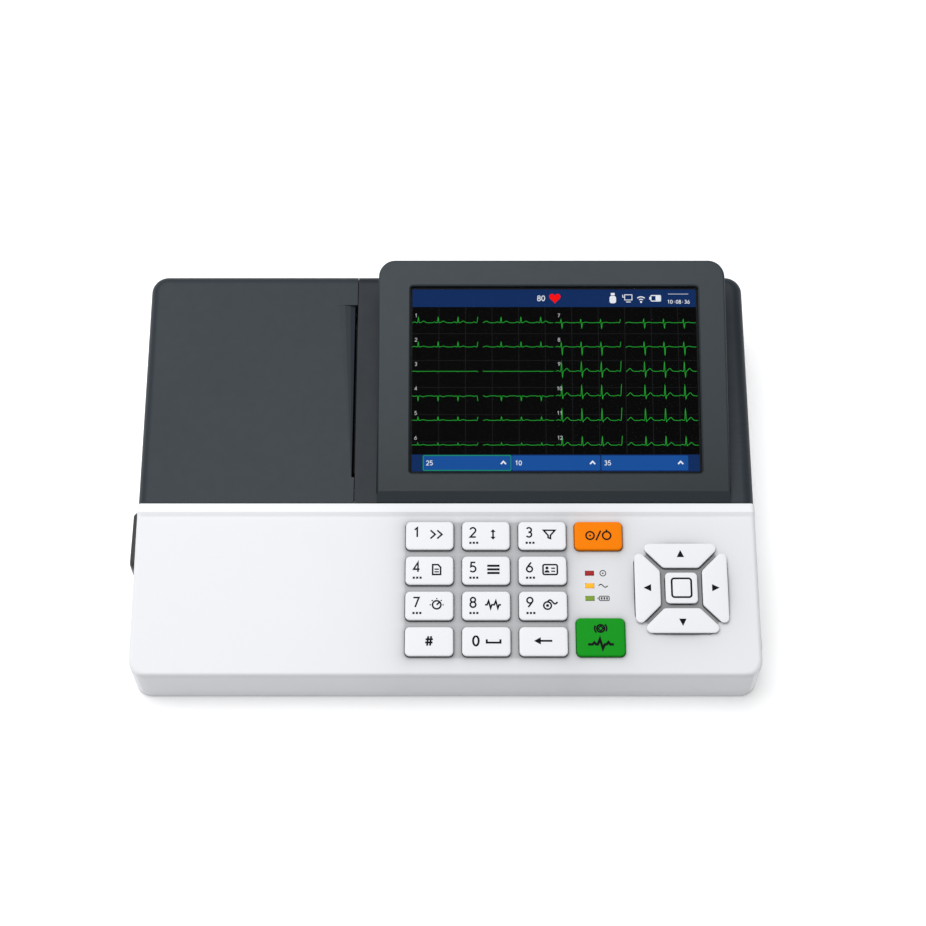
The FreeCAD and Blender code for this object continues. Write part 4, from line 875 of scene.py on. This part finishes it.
def pad_outline(label):
    """Outline of a cap in the cursor cross: a square in the middle, a rounded trapezoid round it."""
    place, size = top_face(label)
    half = min(size) + KEY_EDGE
    if label == "key_ok":
        return [Vector(spot) * MM for spot in rounded(rectangle(-half, half, -half, half), OK_CORNER)]
    middle = top_face("key_ok")[0]
    shift = (middle.inverted() @ place.translation).to_2d() / MM
    inner, outer = shift.length - half, shift.length + half
    corners = [(PAD_BEVEL - inner, inner), (inner - PAD_BEVEL, inner)]
    corners += [(outer - PAD_BEVEL, outer), (PAD_BEVEL - outer, outer)]
    turn = Matrix.Rotation(math.radians(PAD_ARROWS[label][0] - 90), 2)
    return [(turn @ Vector(spot) - shift) * MM for spot in rounded(corners, PAD_CORNER)]


def in_equal_turns(points):
    """Points of a convex outline in equal turns about its origin."""
    spots = []
    for step in range(PAD_DIRECTIONS):
        angle = 2 * math.pi * (step + FIRST_DIRECTION) / PAD_DIRECTIONS
        end = Vector((math.cos(angle), math.sin(angle))) * FAR
        sides = zip(points, points[1:] + points[:1])
        hits = [intersect_line_line_2d(Vector((0, 0)), end, first, second) for first, second in sides]
        spots.append(next(hit for hit in hits if hit))
    return spots


def key_shape(label, keys):
    """Place of a key's top, outlines of foot and top, and the crown as a function of millimetres."""
    place = top_face(label)[0]
    foot = outline_between(label, place, FOOT_LOW * MM, FOOT_HIGH * MM)
    top = foot
    if label in PAD_KEYS:
        foot = in_equal_turns(foot)
        top = in_equal_turns(pad_outline(label))
    half_x = max(abs(spot.x) for spot in top) / MM
    half_y = max(abs(spot.y) for spot in top) / MM
    crown = keys.crown / MM

    def raised(x, y):
        return crown * ((1 - (x / half_x) ** 2) * (1 - (y / half_y) ** 2) - 1)

    return place, foot, top, raised


def make_cap(label, keys):
    """Closed cap from the flange over the rounded edge to the crowned top."""
    place, foot, top, raised = key_shape(label, keys)

    def flat(outline, height):
        return [Vector((*spot, height)) for spot in outline]

    def crowned(outline, height):
        return [Vector((*spot, height + raised(spot.x / MM, spot.y / MM) * MM)) for spot in outline]

    depth = min(spot.z for spot in seen_from(place, label))
    flange = offset_outline(foot, -FLANGE_WIDTH * MM)
    flange_top = depth + FLANGE_HEIGHT * MM
    rings = [flat(flange, depth), flat(flange, flange_top), flat(foot, flange_top)]
    radius = keys.edge_radius
    if label in PAD_KEYS:
        radius = PAD_EDGE * MM
        rings.append(crowned(foot, -radius - PAD_STEP * MM))
    for step in range(EDGE_STEPS + 1):
        turn = math.radians(90 * step / EDGE_STEPS)
        edge = offset_outline(top, radius * (1 - math.cos(turn)))
        rings.append(crowned(edge, -radius + radius * math.sin(turn)))
    for share in TOP_SHARES:
        rings.append(crowned([spot * share for spot in edge], 0.0))
    maker = bmesh.new()
    skin(maker, rings)
    piece = add_piece(f"{label}_cap", maker, finishes[slot_of[label]], label, place)
    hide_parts(label)
    if slot_of[label] == "white_key":
        darken_skirt(piece, place)


def darken_skirt(piece, place):
    """Paint shade on the side faces below the rounded edge, with the grey finish of the skirt."""
    piece.data.materials.append(finishes["key_skirt_shade"].material)
    upward = place.to_3x3().col[2]
    for polygon in piece.data.polygons:
        if abs(polygon.normal.dot(upward)) < SKIRT_SLOPE:
            polygon.material_index = 1


class ECG_OT_make_keys(Operator):
    """Crowned key caps with rounded edges in place of the plain key solids"""

    bl_idname = "ecg.make_keys"
    bl_label = "Key caps"

    def execute(self, context):
        for label in KEY_NAMES:
            make_cap(label, context.scene.ecg_keys)
        return {"FINISHED"}


# Size and corners of the arrow heads.
ARROW_REACH = 2.35
ARROW_TURNS = (0, 128, 232)


def arrow_head(degrees, shift):
    """Solid arrow head pointing in a direction, shifted from the middle of its key."""
    return form(moved([polar((0, 0), ARROW_REACH, degrees + turn) for turn in ARROW_TURNS], *shift))


# Print on the keys: its thickness, and each numeral's place with its own width of line or the common one.
FILM = 0.03
NUMERALS = {f"key_{digit}": (str(digit), (-6.6, 1.7), None) for digit in range(1, 10)}
NUMERALS["key_0"] = ("0", (-5.2, 0.2), 1.0)
NUMERALS["key_hash"] = ("#", (-0.5, 0.2), 0.95)
DIAL = (3.7, 0.4)
WIRE = [(2.2 + 5.0 * step / 16, 1.9 + 1.0 * math.sin(math.pi * step / 8)) for step in range(17)]
# Signs drawn with the common width of line.
SIGNS = {
    "key_1": [stroke([(x, 2.8), (x + 2.4, 0.6), (x, -1.6)]) for x in (0.4, 3.8)],
    "key_2": [
        stroke([(3.6, -1.6), (3.6, 2.8)]),
        form([(2.3, 1.9), (4.9, 1.9), (3.6, 3.4)]),
        form([(2.3, -0.7), (4.9, -0.7), (3.6, -2.2)]),
    ],
    "key_3": [loop([(0.7, 2.8), (6.5, 2.8), (4.2, 0.1), (4.2, -1.6), (3.0, -1.1), (3.0, 0.1)])],
    "key_4": [
        loop([(1.6, -2.2), (5.6, -2.2), (5.6, 1.6), (4.3, 3.0), (1.6, 3.0)]),
        *(stroke([(2.5, height), (4.7, height)], 0.8) for height in (0.6, -0.8)),
    ],
    "key_5": [stroke([(0.6, height), (6.8, height)], 1.4) for height in (2.4, 0.5, -1.4)],
    "key_6": [
        loop(rounded(rectangle(0.2, 7.4, -2.2, 3.0), 0.8)),
        form(arc((2.2, 1.2), 0.8, steps=20)),
        form(arc((2.2, -1.2), 1.3, 0, 180, 16)),
        *(stroke([(4.3, height), (6.3, height)], 0.8) for height in (1.1, -0.5)),
    ],
    "key_7": [
        loop(arc(DIAL, 2.1)),
        stroke([DIAL, (4.9, 1.6)]),
        *(stroke([polar(DIAL, 2.9, turn), polar(DIAL, 3.5, turn)], 0.8) for turn in range(0, 181, 45)),
    ],
    "key_8": [
        stroke(
            [(-0.6, 0.4), (0.4, 0.4), (1.2, 2.4), (2.2, -1.4), (2.8, 0.4)]
            + [(4.0, 0.4), (4.8, 2.4), (5.8, -1.4), (6.4, 0.4), (7.4, 0.4)]
        )
    ],
    "key_9": [loop(arc((2.2, 0.0), 1.9)), form(arc((2.2, 0.0), 0.75, steps=20)), stroke(WIRE)],
    "key_power": [
        *(loop(arc((x, 0.0), 2.05)) for x in (-4.2, 4.2)),
        form(arc((-4.2, 0.0), 0.5, steps=16)),
        stroke([(-1.2, -2.5), (1.2, 2.6)]),
        stroke([(4.2, 1.6), (4.2, 3.2)]),
    ],
    "key_start": [
        loop(arc((0.0, 4.3), 1.9)),
        loop([(0.0, 5.6), (1.3, 4.3), (0.0, 3.0), (-1.3, 4.3)], 0.8),
        *(stroke(arc((0.0, 4.3), 3.0, start, start + 75, 14)) for start in (150, -30)),
        stroke(
            [(-6.4, -3.9), (-4.2, -3.9), (-3.3, -2.9), (-2.4, -3.9), (-1.6, -3.9), (-0.5, -1.2)]
            + [(0.9, -6.0), (1.9, -3.9), (2.8, -3.9), (3.7, -2.7), (4.6, -3.9), (6.4, -3.9)],
            1.5,
        ),
    ],
}
SIGNS.update({label: [arrow_head(*arrow)] for label, arrow in PAD_ARROWS.items()})
# Three dots stand in place of letters under these numerals.
DOTTED = [f"key_{digit}" for digit in range(2, 10)]
DOTS = [form(rectangle(left, left + 1.1, -4.4, -3.3)) for left in (-8.4, -6.7, -5.0)]
# Signs with widths of their own, in millimetres.
BOLD_SIGNS = {
    "key_0": [stroke([(0.2, 1.0), (0.2, -0.7), (7.0, -0.7), (7.0, 1.0)])],
    "key_back": [stroke([(-2.2, 0.2), (4.3, 0.2)]), form([(-4.8, 0.2), (-1.4, -1.7), (-1.4, 2.1)])],
    "key_ok": [loop(rounded(rectangle(-4.9, 4.9, -4.9, 4.9), 1.3), 0.95)],
}


class ECG_OT_print_keys(Operator):
    """Numerals and plain signs on the key tops"""

    bl_idname = "ecg.print_keys"
    bl_label = "Key print"

    def execute(self, context):
        keys = context.scene.ecg_keys
        pen = keys.line_width / MM
        for label in KEY_NAMES:
            drawing = Drawing(FILM)
            if label in NUMERALS:
                sign, spot, width = NUMERALS[label]
                drawing.numerals(sign, spot, keys.numeral_height / MM, width or pen)
            drawing.draw(SIGNS.get(label, ()), pen)
            drawing.draw(BOLD_SIGNS.get(label, ()))
            if label in DOTTED:
                drawing.draw(DOTS)
            place, _, _, raised = key_shape(label, keys)
            drawing.lay(f"{label}_print", finishes["ink"], label, place, raised=raised)
        return {"FINISHED"}


# Lamps: height over the deck, and corner of a lens with the inset and height of its rings over its flat top.
LAMP_PROUD = 0.2
LENS_CORNER = 0.7
LENS_RINGS = ((0.0, -0.15), (0.06, -0.02), (0.18, 0.06), (0.34, 0.1), (0.6, 0.12))
# Signs beside the lamps, and the way to them from the middle of a lamp.
SIGN_AWAY = 6.7
WAVE = [(4.6 * step / 24 - 2.3, 0.75 * math.sin(math.pi * step / 12)) for step in range(25)]
LAMP_SIGNS = {
    "lamp_red": [loop(arc((0, 0), 1.45), 0.44), form(arc((0, 0), 0.42, steps=14))],
    "lamp_amber": [stroke(WAVE, 0.52)],
    "lamp_green": [
        loop(rounded(rectangle(-2.0, 2.9, -1.15, 1.15), 0.5), 0.44),
        stroke([(-2.7, -0.5), (-2.7, 0.5)], 0.5),
        *(form(rectangle(left, left + 0.85, -0.62, 0.62)) for left in (-1.3, 0.05, 1.4)),
    ],
}


class ECG_OT_make_lamps(Operator):
    """Domed lamp lenses and the signs beside them"""

    bl_idname = "ecg.make_lamps"
    bl_label = "Lamps"

    def execute(self, context):
        for label in LAMP_SIGNS:
            self.make_lens(label)
        for label, marks in LAMP_SIGNS.items():
            drawing = Drawing(FILM)
            drawing.draw(marks, at=(SIGN_AWAY, 0.0))
            deck = top_face(label)[0] @ Matrix.Translation((0, 0, -LAMP_PROUD * MM))
            drawing.lay(f"{label}_sign", finishes["lamp_ink"], label, deck, "white_case")
        return {"FINISHED"}

    def make_lens(self, label):
        place, (half_x, half_y) = top_face(label)
        depth = min(spot.z for spot in seen_from(place, label)) / MM
        rings = []
        for inset, height in ((0.0, depth), *LENS_RINGS):
            x, y = half_x - inset, half_y - inset
            level = rounded(rectangle(-x, x, -y, y), LENS_CORNER - inset)
            rings.append([Vector((*spot, height)) * MM for spot in level])
        maker = bmesh.new()
        skin(maker, rings)
        piece = add_piece(f"{label}_lens", maker, finishes[slot_of[label]], label, place)
        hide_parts(label)


# Screen picture: thickness and distance of its layers, margins of the lit area and heights of the bars.
LIT_FILM = 0.01
LAYER = 0.012
LIT_MARGIN_X = 7.1
LIT_MARGIN_Y = 6.3
STATUS_BAR = 9.5
FOOT_BAR = 8.8
GRID_X = 13.8
GRID_Y = 14.4
GRID_ROWS = 6
# Rows of curves: first row under the top, pitch, number in a column and gap between the columns.
FIRST_ROW = 18.0
ROW_PITCH = 13.04
ROWS = 6
COLUMN_GAP = 0.4
ROW_NUMBER_COLOUR = (0.42, 0.44, 0.46)
# Distances along a curve: between beats and points, first beat of each run and gap between the runs.
BEAT = 10.3
POINT_STEP = 0.14
FIRST_BEATS = (3.1, 46.1)
GAP = (34.2, 36.6)
# Middle and spread of a curve's four waves: before the beat, its peak, its dip and after it.
WAVE_SHAPE = ((-1.9, 0.45), (0.0, 0.17), (0.42, 0.18), (2.7, 0.75))
# Heights of these waves, down the left column and then down the right one.
WAVES = [
    (0.5, 3.2, 0.0, 0.9),
    (0.4, 2.8, 0.0, 0.5),
    (0.1, -0.3, 0.0, 0.0),
    (-0.3, -2.7, 0.0, -0.5),
    (0.2, 1.9, 0.0, 0.4),
    (0.2, 1.2, 0.0, 0.4),
    (0.2, 2.2, -3.2, 0.3),
    (0.3, 3.2, -4.8, 0.4),
    (0.4, 5.8, -3.7, 1.5),
    (0.4, 6.4, -1.9, 1.6),
    (0.4, 6.8, -0.9, 1.6),
    (0.4, 5.0, -0.5, 1.4),
]
# Status bar: place and size of the heart, then signs by their distance from the left.
HEART_X = 74.2
HEART_SIZE = 0.185
STATUS_SIGNS = {
    104.4: [form(rounded(rectangle(-1.7, 1.7, -2.7, 1.3), 1.1)), form(rectangle(-1.0, 1.0, 1.6, 2.9))],
    112.0: [
        loop(rectangle(-1.4, 2.4, -0.9, 1.9), 0.4),
        stroke([(-2.4, 1.9), (-2.4, 0.6), (-1.6, 0.6)], 0.4),
        stroke([(-0.7, -2.0), (1.7, -2.0)], 0.45),
    ],
    119.1: [
        *(stroke(arc((0.0, -1.9), radius, 45, 135, 12), 0.55) for radius in (1.4, 2.7)),
        form(arc((0.0, -2.0), 0.55, steps=14)),
    ],
    126.3: [
        loop(rounded(rectangle(-2.0, 3.0, -1.5, 1.5), 0.4), 0.5),
        form(rectangle(0.4, 2.7, -1.2, 1.2)),
        form(rectangle(-2.9, -2.1, -0.7, 0.7)),
    ],
    138.5: [stroke([(-5.3, 2.3), (5.3, 2.3)], 0.22)],
}
# Foot bar: numeral and both ends of each button, its rim and corners, its arrow and the chosen one's colour.
BUTTONS = (("25", 5.9, 50.9), ("10", 51.5, 96.6), ("35", 97.2, 141.7))
BUTTON_RIM = 0.5
BUTTON_CORNER = 0.6
BUTTON_ARROW = [stroke([(-1.3, -0.6), (0.0, 0.8), (1.3, -0.6)], 0.75)]
CHOICE_COLOUR = (0.01, 0.30, 0.10)


def heart_curve(distance, waves):
    """Height of one heart beat at a distance from its peak."""
    total = 0.0
    for (middle, spread), height in zip(WAVE_SHAPE, waves):
        total += height * math.exp(-(((distance - middle) / spread) ** 2) / 2)
    return total


def curve_points(start, baseline, waves, first, begin, end):
    """Points of one curve between two distances along its column."""
    points = []
    for index in range(int((end - begin) / POINT_STEP)):
        along = begin + index * POINT_STEP
        nearest = round((along - first) / BEAT) * BEAT + first
        height = sum(heart_curve(along - nearest - shift * BEAT, waves) for shift in (-1, 0, 1))
        points.append((start + along, baseline + height))
    return points


def heart_points(x, y):
    """Outline of a heart about a point."""
    points = []
    for step in range(48):
        a = 2 * math.pi * step / 48
        across = 16 * math.sin(a) ** 3
        up = 13 * math.cos(a) - 5 * math.cos(2 * a) - 2 * math.cos(3 * a) - math.cos(4 * a)
        points.append((x + across * HEART_SIZE, y + up * HEART_SIZE))
    return points[::-1]


class ECG_OT_draw_screen(Operator):
    """Picture on the screen: bars, grid, curves, numerals and signs"""

    bl_idname = "ecg.draw_screen"
    bl_label = "Screen picture"

    def execute(self, context):
        screen = context.scene.ecg_screen
        self.place, (half_x, half_y) = top_face("lcd_module")
        self.left = LIT_MARGIN_X - half_x
        self.top = half_y - LIT_MARGIN_Y
        self.low = FOOT_BAR - self.top
        self.high = self.top - STATUS_BAR
        self.signs = glow("screen signs", screen.sign_colour)
        self.draw_grounds(screen)
        self.draw_curves(screen)
        self.draw_status(screen)
        self.draw_foot(screen)
        return {"FINISHED"}

    def lay(self, name, drawing, layer, colour=None):
        """Lay a drawing as a lit layer in a colour, or else in that of the signs."""
        finish = self.signs if colour is None else glow(name.replace("_", " "), colour)
        drawing.lay(name, finish, "lcd_module", self.place @ Matrix.Translation((0, 0, layer * LAYER * MM)))

    def draw_grounds(self, screen):
        left, right = self.left, -self.left
        bars = Drawing(LIT_FILM)
        bars.fill(rectangle(left, right, self.high, self.top))
        bars.fill(rectangle(left, right, -self.top, self.low))
        self.lay("screen_bars", bars, 0, screen.bar_colour)
        chart = Drawing(LIT_FILM)
        chart.fill(rectangle(left, right, self.low, self.high))
        self.lay("screen_chart", chart, 0, screen.chart_colour)
        grid = Drawing(LIT_FILM)
        for step in range(1, int((right - left) / GRID_X) + 1):
            x = left + GRID_X * step
            grid.line([(x, self.low), (x, self.high)], width=0.3)
        for step in range(1, GRID_ROWS):
            y = self.high - GRID_Y * step
            grid.line([(left, y), (right, y)], width=0.25)
        self.lay("screen_grid", grid, 1, screen.grid_colour)

    def draw_curves(self, screen):
        curves = Drawing(LIT_FILM)
        labels = Drawing(LIT_FILM)
        runs = ((0.0, GAP[0]), (GAP[1], -self.left - COLUMN_GAP))
        for index, waves in enumerate(WAVES):
            column, row = divmod(index, ROWS)
            start = (self.left, COLUMN_GAP)[column]
            baseline = self.top - FIRST_ROW - ROW_PITCH * row
            for first, run in zip(FIRST_BEATS, runs):
                curves.line(curve_points(start, baseline, waves, first, *run), screen.trace_width / MM)
            labels.numerals(str(index + 1), (start + 1.9, baseline + 3.9), height=2.1, width=0.32)
        self.lay("screen_curves", curves, 2, screen.trace_colour)
        self.lay("screen_row_numbers", labels, 3, ROW_NUMBER_COLOUR)

    def draw_status(self, screen):
        level = self.top - STATUS_BAR / 2
        heart = Drawing(LIT_FILM)
        heart.fill(heart_points(self.left + HEART_X, level + 0.2))
        self.lay("screen_heart", heart, 2, screen.heart_colour)
        signs = Drawing(LIT_FILM)
        signs.numerals("80", (self.left + 67.0, level), height=3.1, width=0.42)
        signs.numerals("10:08:36", (self.left + 138.6, level - 1.9), height=2.1, width=0.3)
        for along, marks in STATUS_SIGNS.items():
            signs.draw(marks, at=(self.left + along, level))
        self.lay("screen_status_signs", signs, 2)

    def draw_foot(self, screen):
        buttons = Drawing(LIT_FILM)
        signs = Drawing(LIT_FILM)
        low, high = BUTTON_RIM - self.top, self.low - BUTTON_RIM
        level = (low + high) / 2
        outlines = []
        for numeral, start, end in BUTTONS:
            left, right = self.left + start, self.left + end
            outlines.append(rounded(rectangle(left, right, low, high), BUTTON_CORNER))
            signs.numerals(numeral, (left + 3.2, level), height=2.6, width=0.36)
            signs.draw(BUTTON_ARROW, at=(right - 3.9, level))
        for outline in outlines:
            buttons.fill(outline)
        self.lay("screen_buttons", buttons, 1, screen.button_colour)
        self.lay("screen_foot_signs", signs, 3)
        choice = Drawing(LIT_FILM)
        choice.line(outlines[0], width=0.45, closed=True)
        self.lay("screen_choice", choice, 2, CHOICE_COLOUR)


# Sockets: rim and screws of the patient socket, contacts of the flat socket, wires of the network socket.
RIM = rounded([(-11.1, -3.7), (11.1, -3.7), (12.3, 3.7), (-12.3, 3.7)], 1.4)
RIM_HEIGHT = 0.4
RIM_WIDTH = 0.8
POST_AWAY = 15.1
POST_PROFILE = [(1.75, -0.2), (1.75, 0.5), (1.5, 0.8), (0.9, 0.8), (0.8, 0.2)]
POST_SIDES = 6
CONTACTS = 4
CONTACT_PITCH = 2.5
CONTACT_HALF = 0.55
WIRES = 8
WIRE_PITCH = 1.02
WIRE_WIDTH = 0.46
WIRE_THICKNESS = 0.24
WIRE_PATH = [(-12.9, 3.3), (-4.6, 3.3), (-3.9, 2.8), (-4.3, 2.3), (-11.6, -1.0)]
# Directions across and up the right wall; a matrix from a drawing's x, y, z to the world's y, z, x.
RIGHT_WALL = ((0, 1, 0), (0, 0, 1))
UPRIGHT = Matrix(((0, 0, 1, 0), (1, 0, 0, 0), (0, 1, 0, 0), (0, 0, 0, 1)))


class ECG_OT_fit_sockets(Operator):
    """Metal rim and screws of the patient socket, contacts of the flat socket and of the network socket"""

    bl_idname = "ecg.fit_sockets"
    bl_label = "Socket contacts"

    def execute(self, context):
        self.fit_patient_socket()
        self.fit_flat_socket()
        self.fit_network_socket()
        return {"FINISHED"}

    def fit_patient_socket(self):
        _, high, middle = node_box("patient_socket")
        rim = Drawing(RIM_HEIGHT)
        rim.line(RIM, RIM_WIDTH, closed=True)
        place = wall_place((high.x, middle.y, middle.z), *RIGHT_WALL)
        rim.lay("patient_socket_rim", finishes["plated"], "patient_socket", place, "plated")
        face = node_box("port_panel")[1].x
        maker = bmesh.new()
        for side in (-POST_AWAY, POST_AWAY):
            place = wall_place((face, middle.y + side * MM, middle.z), *RIGHT_WALL)
            turned(maker, POST_PROFILE, place @ SCALE, POST_SIDES)
        add_piece("patient_socket_posts", maker, finishes["steel"], "port_panel")

    def fit_flat_socket(self):
        _, high, middle = node_box("usb_socket")
        place = Matrix.Translation((high.x, middle.y, middle.z)) @ SCALE
        maker = bmesh.new()
        for step in range(CONTACTS):
            y = CONTACT_PITCH * (step - (CONTACTS - 1) / 2)
            block(maker, (-8.6, y - CONTACT_HALF, 0.02), (-1.9, y + CONTACT_HALF, 0.21), place)
        add_piece("flat_socket_contacts", maker, finishes["brass"], "usb_socket")

    def fit_network_socket(self):
        _, high, middle = node_box("lan_socket")
        wires = Drawing(WIRE_WIDTH)
        for step in range(WIRES):
            wires.floor = WIRE_PITCH * (step - (WIRES - 1) / 2) - WIRE_WIDTH / 2
            wires.line(WIRE_PATH, WIRE_THICKNESS)
        place = Matrix.Translation((middle.x, high.y, middle.z)) @ UPRIGHT
        wires.lay("network_socket_contacts", finishes["brass"], "lan_socket", place, "brass")


# Base: feet with rings under them, and crosses painted as shade on the heads of the screws.
FOOT_RADIUS = 8.0
FOOT_SIDES = 64
FOOT_RINGS = [
    (FOOT_RADIUS, 0.5),
    (FOOT_RADIUS - 0.15, 0.15),
    (FOOT_RADIUS - 0.5, 0.0),
    *[(6.2, 0.0), (6.0, 0.35), (5.2, 0.35), (5.0, 0.0), (3.6, 0.0), (3.4, 0.35), (0.05, 0.35)],
]
SCREW_RADIUS = 2.7
# Pieces are told apart when their points lie farther from one another than this many radii.
APART = 2.2
CROSS_FILM = 0.02
HALF_CROSS = [(0.35, 0.35), (0.35, 1.6), (-0.35, 1.6), (-0.35, 0.35), (-1.6, 0.35), (-1.6, -0.35)]
CROSS = HALF_CROSS + [(-x, -y) for x, y in HALF_CROSS]


class ECG_OT_fit_base(Operator):
    """Ringed rubber feet, and black crosses painted on the screw heads under the base as the shade of their
    recesses
    """

    bl_idname = "ecg.fit_base"
    bl_label = "Feet and screws"

    def execute(self, context):
        low, high, _ = node_box("feet")
        profile = [(FOOT_RADIUS, (high.z - low.z) / MM), *FOOT_RINGS]
        maker = bmesh.new()
        for spot in standing_spots("feet", APART * FOOT_RADIUS * MM):
            turned(maker, profile, Matrix.Translation(spot) @ SCALE, FOOT_SIDES)
        piece = add_piece("ringed_feet", maker, finishes["rubber"], "feet")
        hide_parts("feet")
        spots = standing_spots("case_screws", APART * SCREW_RADIUS * MM)
        # The recesses are not cut: a black film on each screw head paints the shade in its cross.
        marks = Drawing(CROSS_FILM)
        for spot in spots:
            marks.fill(moved(CROSS, spot.x / MM, -spot.y / MM))
        place = wall_place((0, 0, spots[0].z), (1, 0, 0), (0, -1, 0))
        marks.lay("screw_cross_shade", finishes["ink"], "case_screws", place)
        return {"FINISHED"}


# Paper bay: heating strip beside the print head and ribs under the door, with heights over their top faces.
STRIP_FILM = 0.06
STRIP_END = 1.0
STRIP_HEIGHTS = (-9.5, -2.5)
RIB_SHARES = (-0.6, -0.2, 0.2, 0.6)
RIB_LEFT = 9.0
RIB_RIGHT = 26.0
RIB_HALF = 0.7
RIB_HEIGHTS = (-4.0, -2.4)
RIB_BEVEL = 0.4


class ECG_OT_fit_paper_bay(Operator):
    """Heating line of the print head and stiffening ribs under the paper door"""

    bl_idname = "ecg.fit_paper_bay"
    bl_label = "Paper bay"

    def execute(self, context):
        place, (half_x, half_y) = top_face("print_head")
        end = half_y - STRIP_END
        low, high = STRIP_HEIGHTS
        maker = bmesh.new()
        block(maker, (-half_x - STRIP_FILM, -end, low), (-half_x, end, high), place @ SCALE)
        add_piece("heating_strip", maker, finishes["ceramic"], "print_head")
        place, (half_x, half_y) = top_face("paper_door")
        left, right = RIB_LEFT - half_x, half_x - RIB_RIGHT
        low, high = RIB_HEIGHTS
        ribs = bmesh.new()
        for share in RIB_SHARES:
            y = share * half_y
            corners = ((left, y - RIB_HALF, low), (right, y + RIB_HALF, high))
            block(ribs, *corners, place @ SCALE, RIB_BEVEL)
        add_piece("door_ribs", ribs, finishes[slot_of["paper_door"]], "paper_door")
        return {"FINISHED"}


# Stage: size of the floor and its distance under the feet, what lights and camera look at, in metres.
FLOOR_SIZE = 6.0
FLOOR_DROP = 0.2 * MM
LIGHT_TARGET = Vector((0, 0, 0.03))
CAMERA_TARGET = Vector((0.0087, 0.0030, 0.0400))
# Place and size of each light panel, in metres.
TOP_PANEL = ((-0.6, 0.45, 2.4), (2.6, 2.6))
FRONT_PANEL = ((-0.6, -2.4, 1.3), (2.0, 1.2))
SENSOR_WIDTH = 36.0
SKY_COLOUR = (0.96, 0.98, 1.0, 1.0)


class ECG_OT_set_stage(Operator):
    """Pale floor, soft light and the camera"""

    bl_idname = "ecg.set_stage"
    bl_label = "Stage"

    def execute(self, context):
        stage = context.scene.ecg_stage
        self.make_floor(stage)
        self.make_sky(stage)
        self.make_panel("top panel", *TOP_PANEL, stage.top_power)
        self.make_panel("front panel", *FRONT_PANEL, stage.front_power)
        self.make_camera(stage)
        context.scene.view_settings.view_transform = "Standard"
        return {"FINISHED"}

    def make_floor(self, stage):
        maker = bmesh.new()
        bmesh.ops.create_grid(maker, x_segments=1, y_segments=1, size=FLOOR_SIZE)
        mesh = bpy.data.meshes.new("floor")
        maker.to_mesh(mesh)
        maker.free()
        constants = {"Emission_Strength": stage.floor_glow, "Specular_IOR_Level": 0.0}
        finish = Finish("pale floor", roughness=0.9, spread=0.05, scale=3.0, **constants)
        tone = finish.tone(stage.floor_colour, drift=0.01, scale=2.0)
        finish.set("Base Color", tone)
        finish.set("Emission Color", tone)
        mesh.materials.append(finish.material)
        floor = bpy.data.objects.new("floor", mesh)
        floor.location.z = cad_box[0].z - FLOOR_DROP
        bpy.context.scene.collection.objects.link(floor)

    def make_sky(self, stage):
        sky = bpy.data.worlds.new("studio")
        sky.use_nodes = True
        background = sky.node_tree.nodes["Background"]
        background.inputs["Color"].default_value = SKY_COLOUR
        background.inputs["Strength"].default_value = stage.sky
        bpy.context.scene.world = sky

    def make_panel(self, name, spot, size, power):
        light = bpy.data.lights.new(name, "AREA")
        light.shape = "RECTANGLE"
        light.size, light.size_y = size
        light.energy = power
        lamp = bpy.data.objects.new(name, light)
        lamp.location = spot
        lamp.rotation_mode = "QUATERNION"
        lamp.rotation_quaternion = (LIGHT_TARGET - Vector(spot)).to_track_quat("-Z", "Y")
        bpy.context.scene.collection.objects.link(lamp)

    def make_camera(self, stage):
        lens = bpy.data.cameras.new("camera")
        lens.sensor_width = SENSOR_WIDTH
        lens.lens = stage.lens
        camera = bpy.data.objects.new("camera", lens)
        toward = Vector((0, math.cos(stage.elevation), -math.sin(stage.elevation)))
        camera.location = CAMERA_TARGET - toward * stage.distance
        camera.rotation_euler = (math.pi / 2 - stage.elevation, 0, 0)
        bpy.context.scene.collection.objects.link(camera)
        bpy.context.scene.camera = camera


class ECG_PT_looks(Panel):
    """Steps of the looks, in the order they are made"""

    bl_label = "Electrocardiograph looks"
    bl_space_type = "VIEW_3D"
    bl_region_type = "UI"
    bl_category = "ECG"

    def draw(self, context):
        for operator in OPERATORS:
            self.layout.operator(operator.bl_idname)


OPERATORS = (
    ECG_OT_dress_frame,
    ECG_OT_make_keys,
    ECG_OT_print_keys,
    ECG_OT_make_lamps,
    ECG_OT_draw_screen,
    ECG_OT_fit_sockets,
    ECG_OT_fit_base,
    ECG_OT_fit_paper_bay,
    ECG_OT_set_stage,
)
SETTINGS = {
    "ecg_case": CaseFinish,
    "ecg_keys": KeyFinish,
    "ecg_screen": ScreenFinish,
    "ecg_stage": StageFinish,
}
CLASSES = (*SETTINGS.values(), *OPERATORS, ECG_PT_looks)


def register():
    for each in CLASSES:
        bpy.utils.register_class(each)
    for name, settings in SETTINGS.items():
        setattr(bpy.types.Scene, name, PointerProperty(type=settings))


def unregister():
    for name in SETTINGS:
        delattr(bpy.types.Scene, name)
    for each in reversed(CLASSES):
        bpy.utils.unregister_class(each)


def main():
    register()
    bpy.ops.ecg.dress_frame()
    bpy.ops.ecg.make_keys()
    bpy.ops.ecg.print_keys()
    bpy.ops.ecg.make_lamps()
    bpy.ops.ecg.draw_screen()
    bpy.ops.ecg.fit_sockets()
    bpy.ops.ecg.fit_base()
    bpy.ops.ecg.fit_paper_bay()
    bpy.ops.ecg.set_stage()


if __name__ == "__main__":
    main()
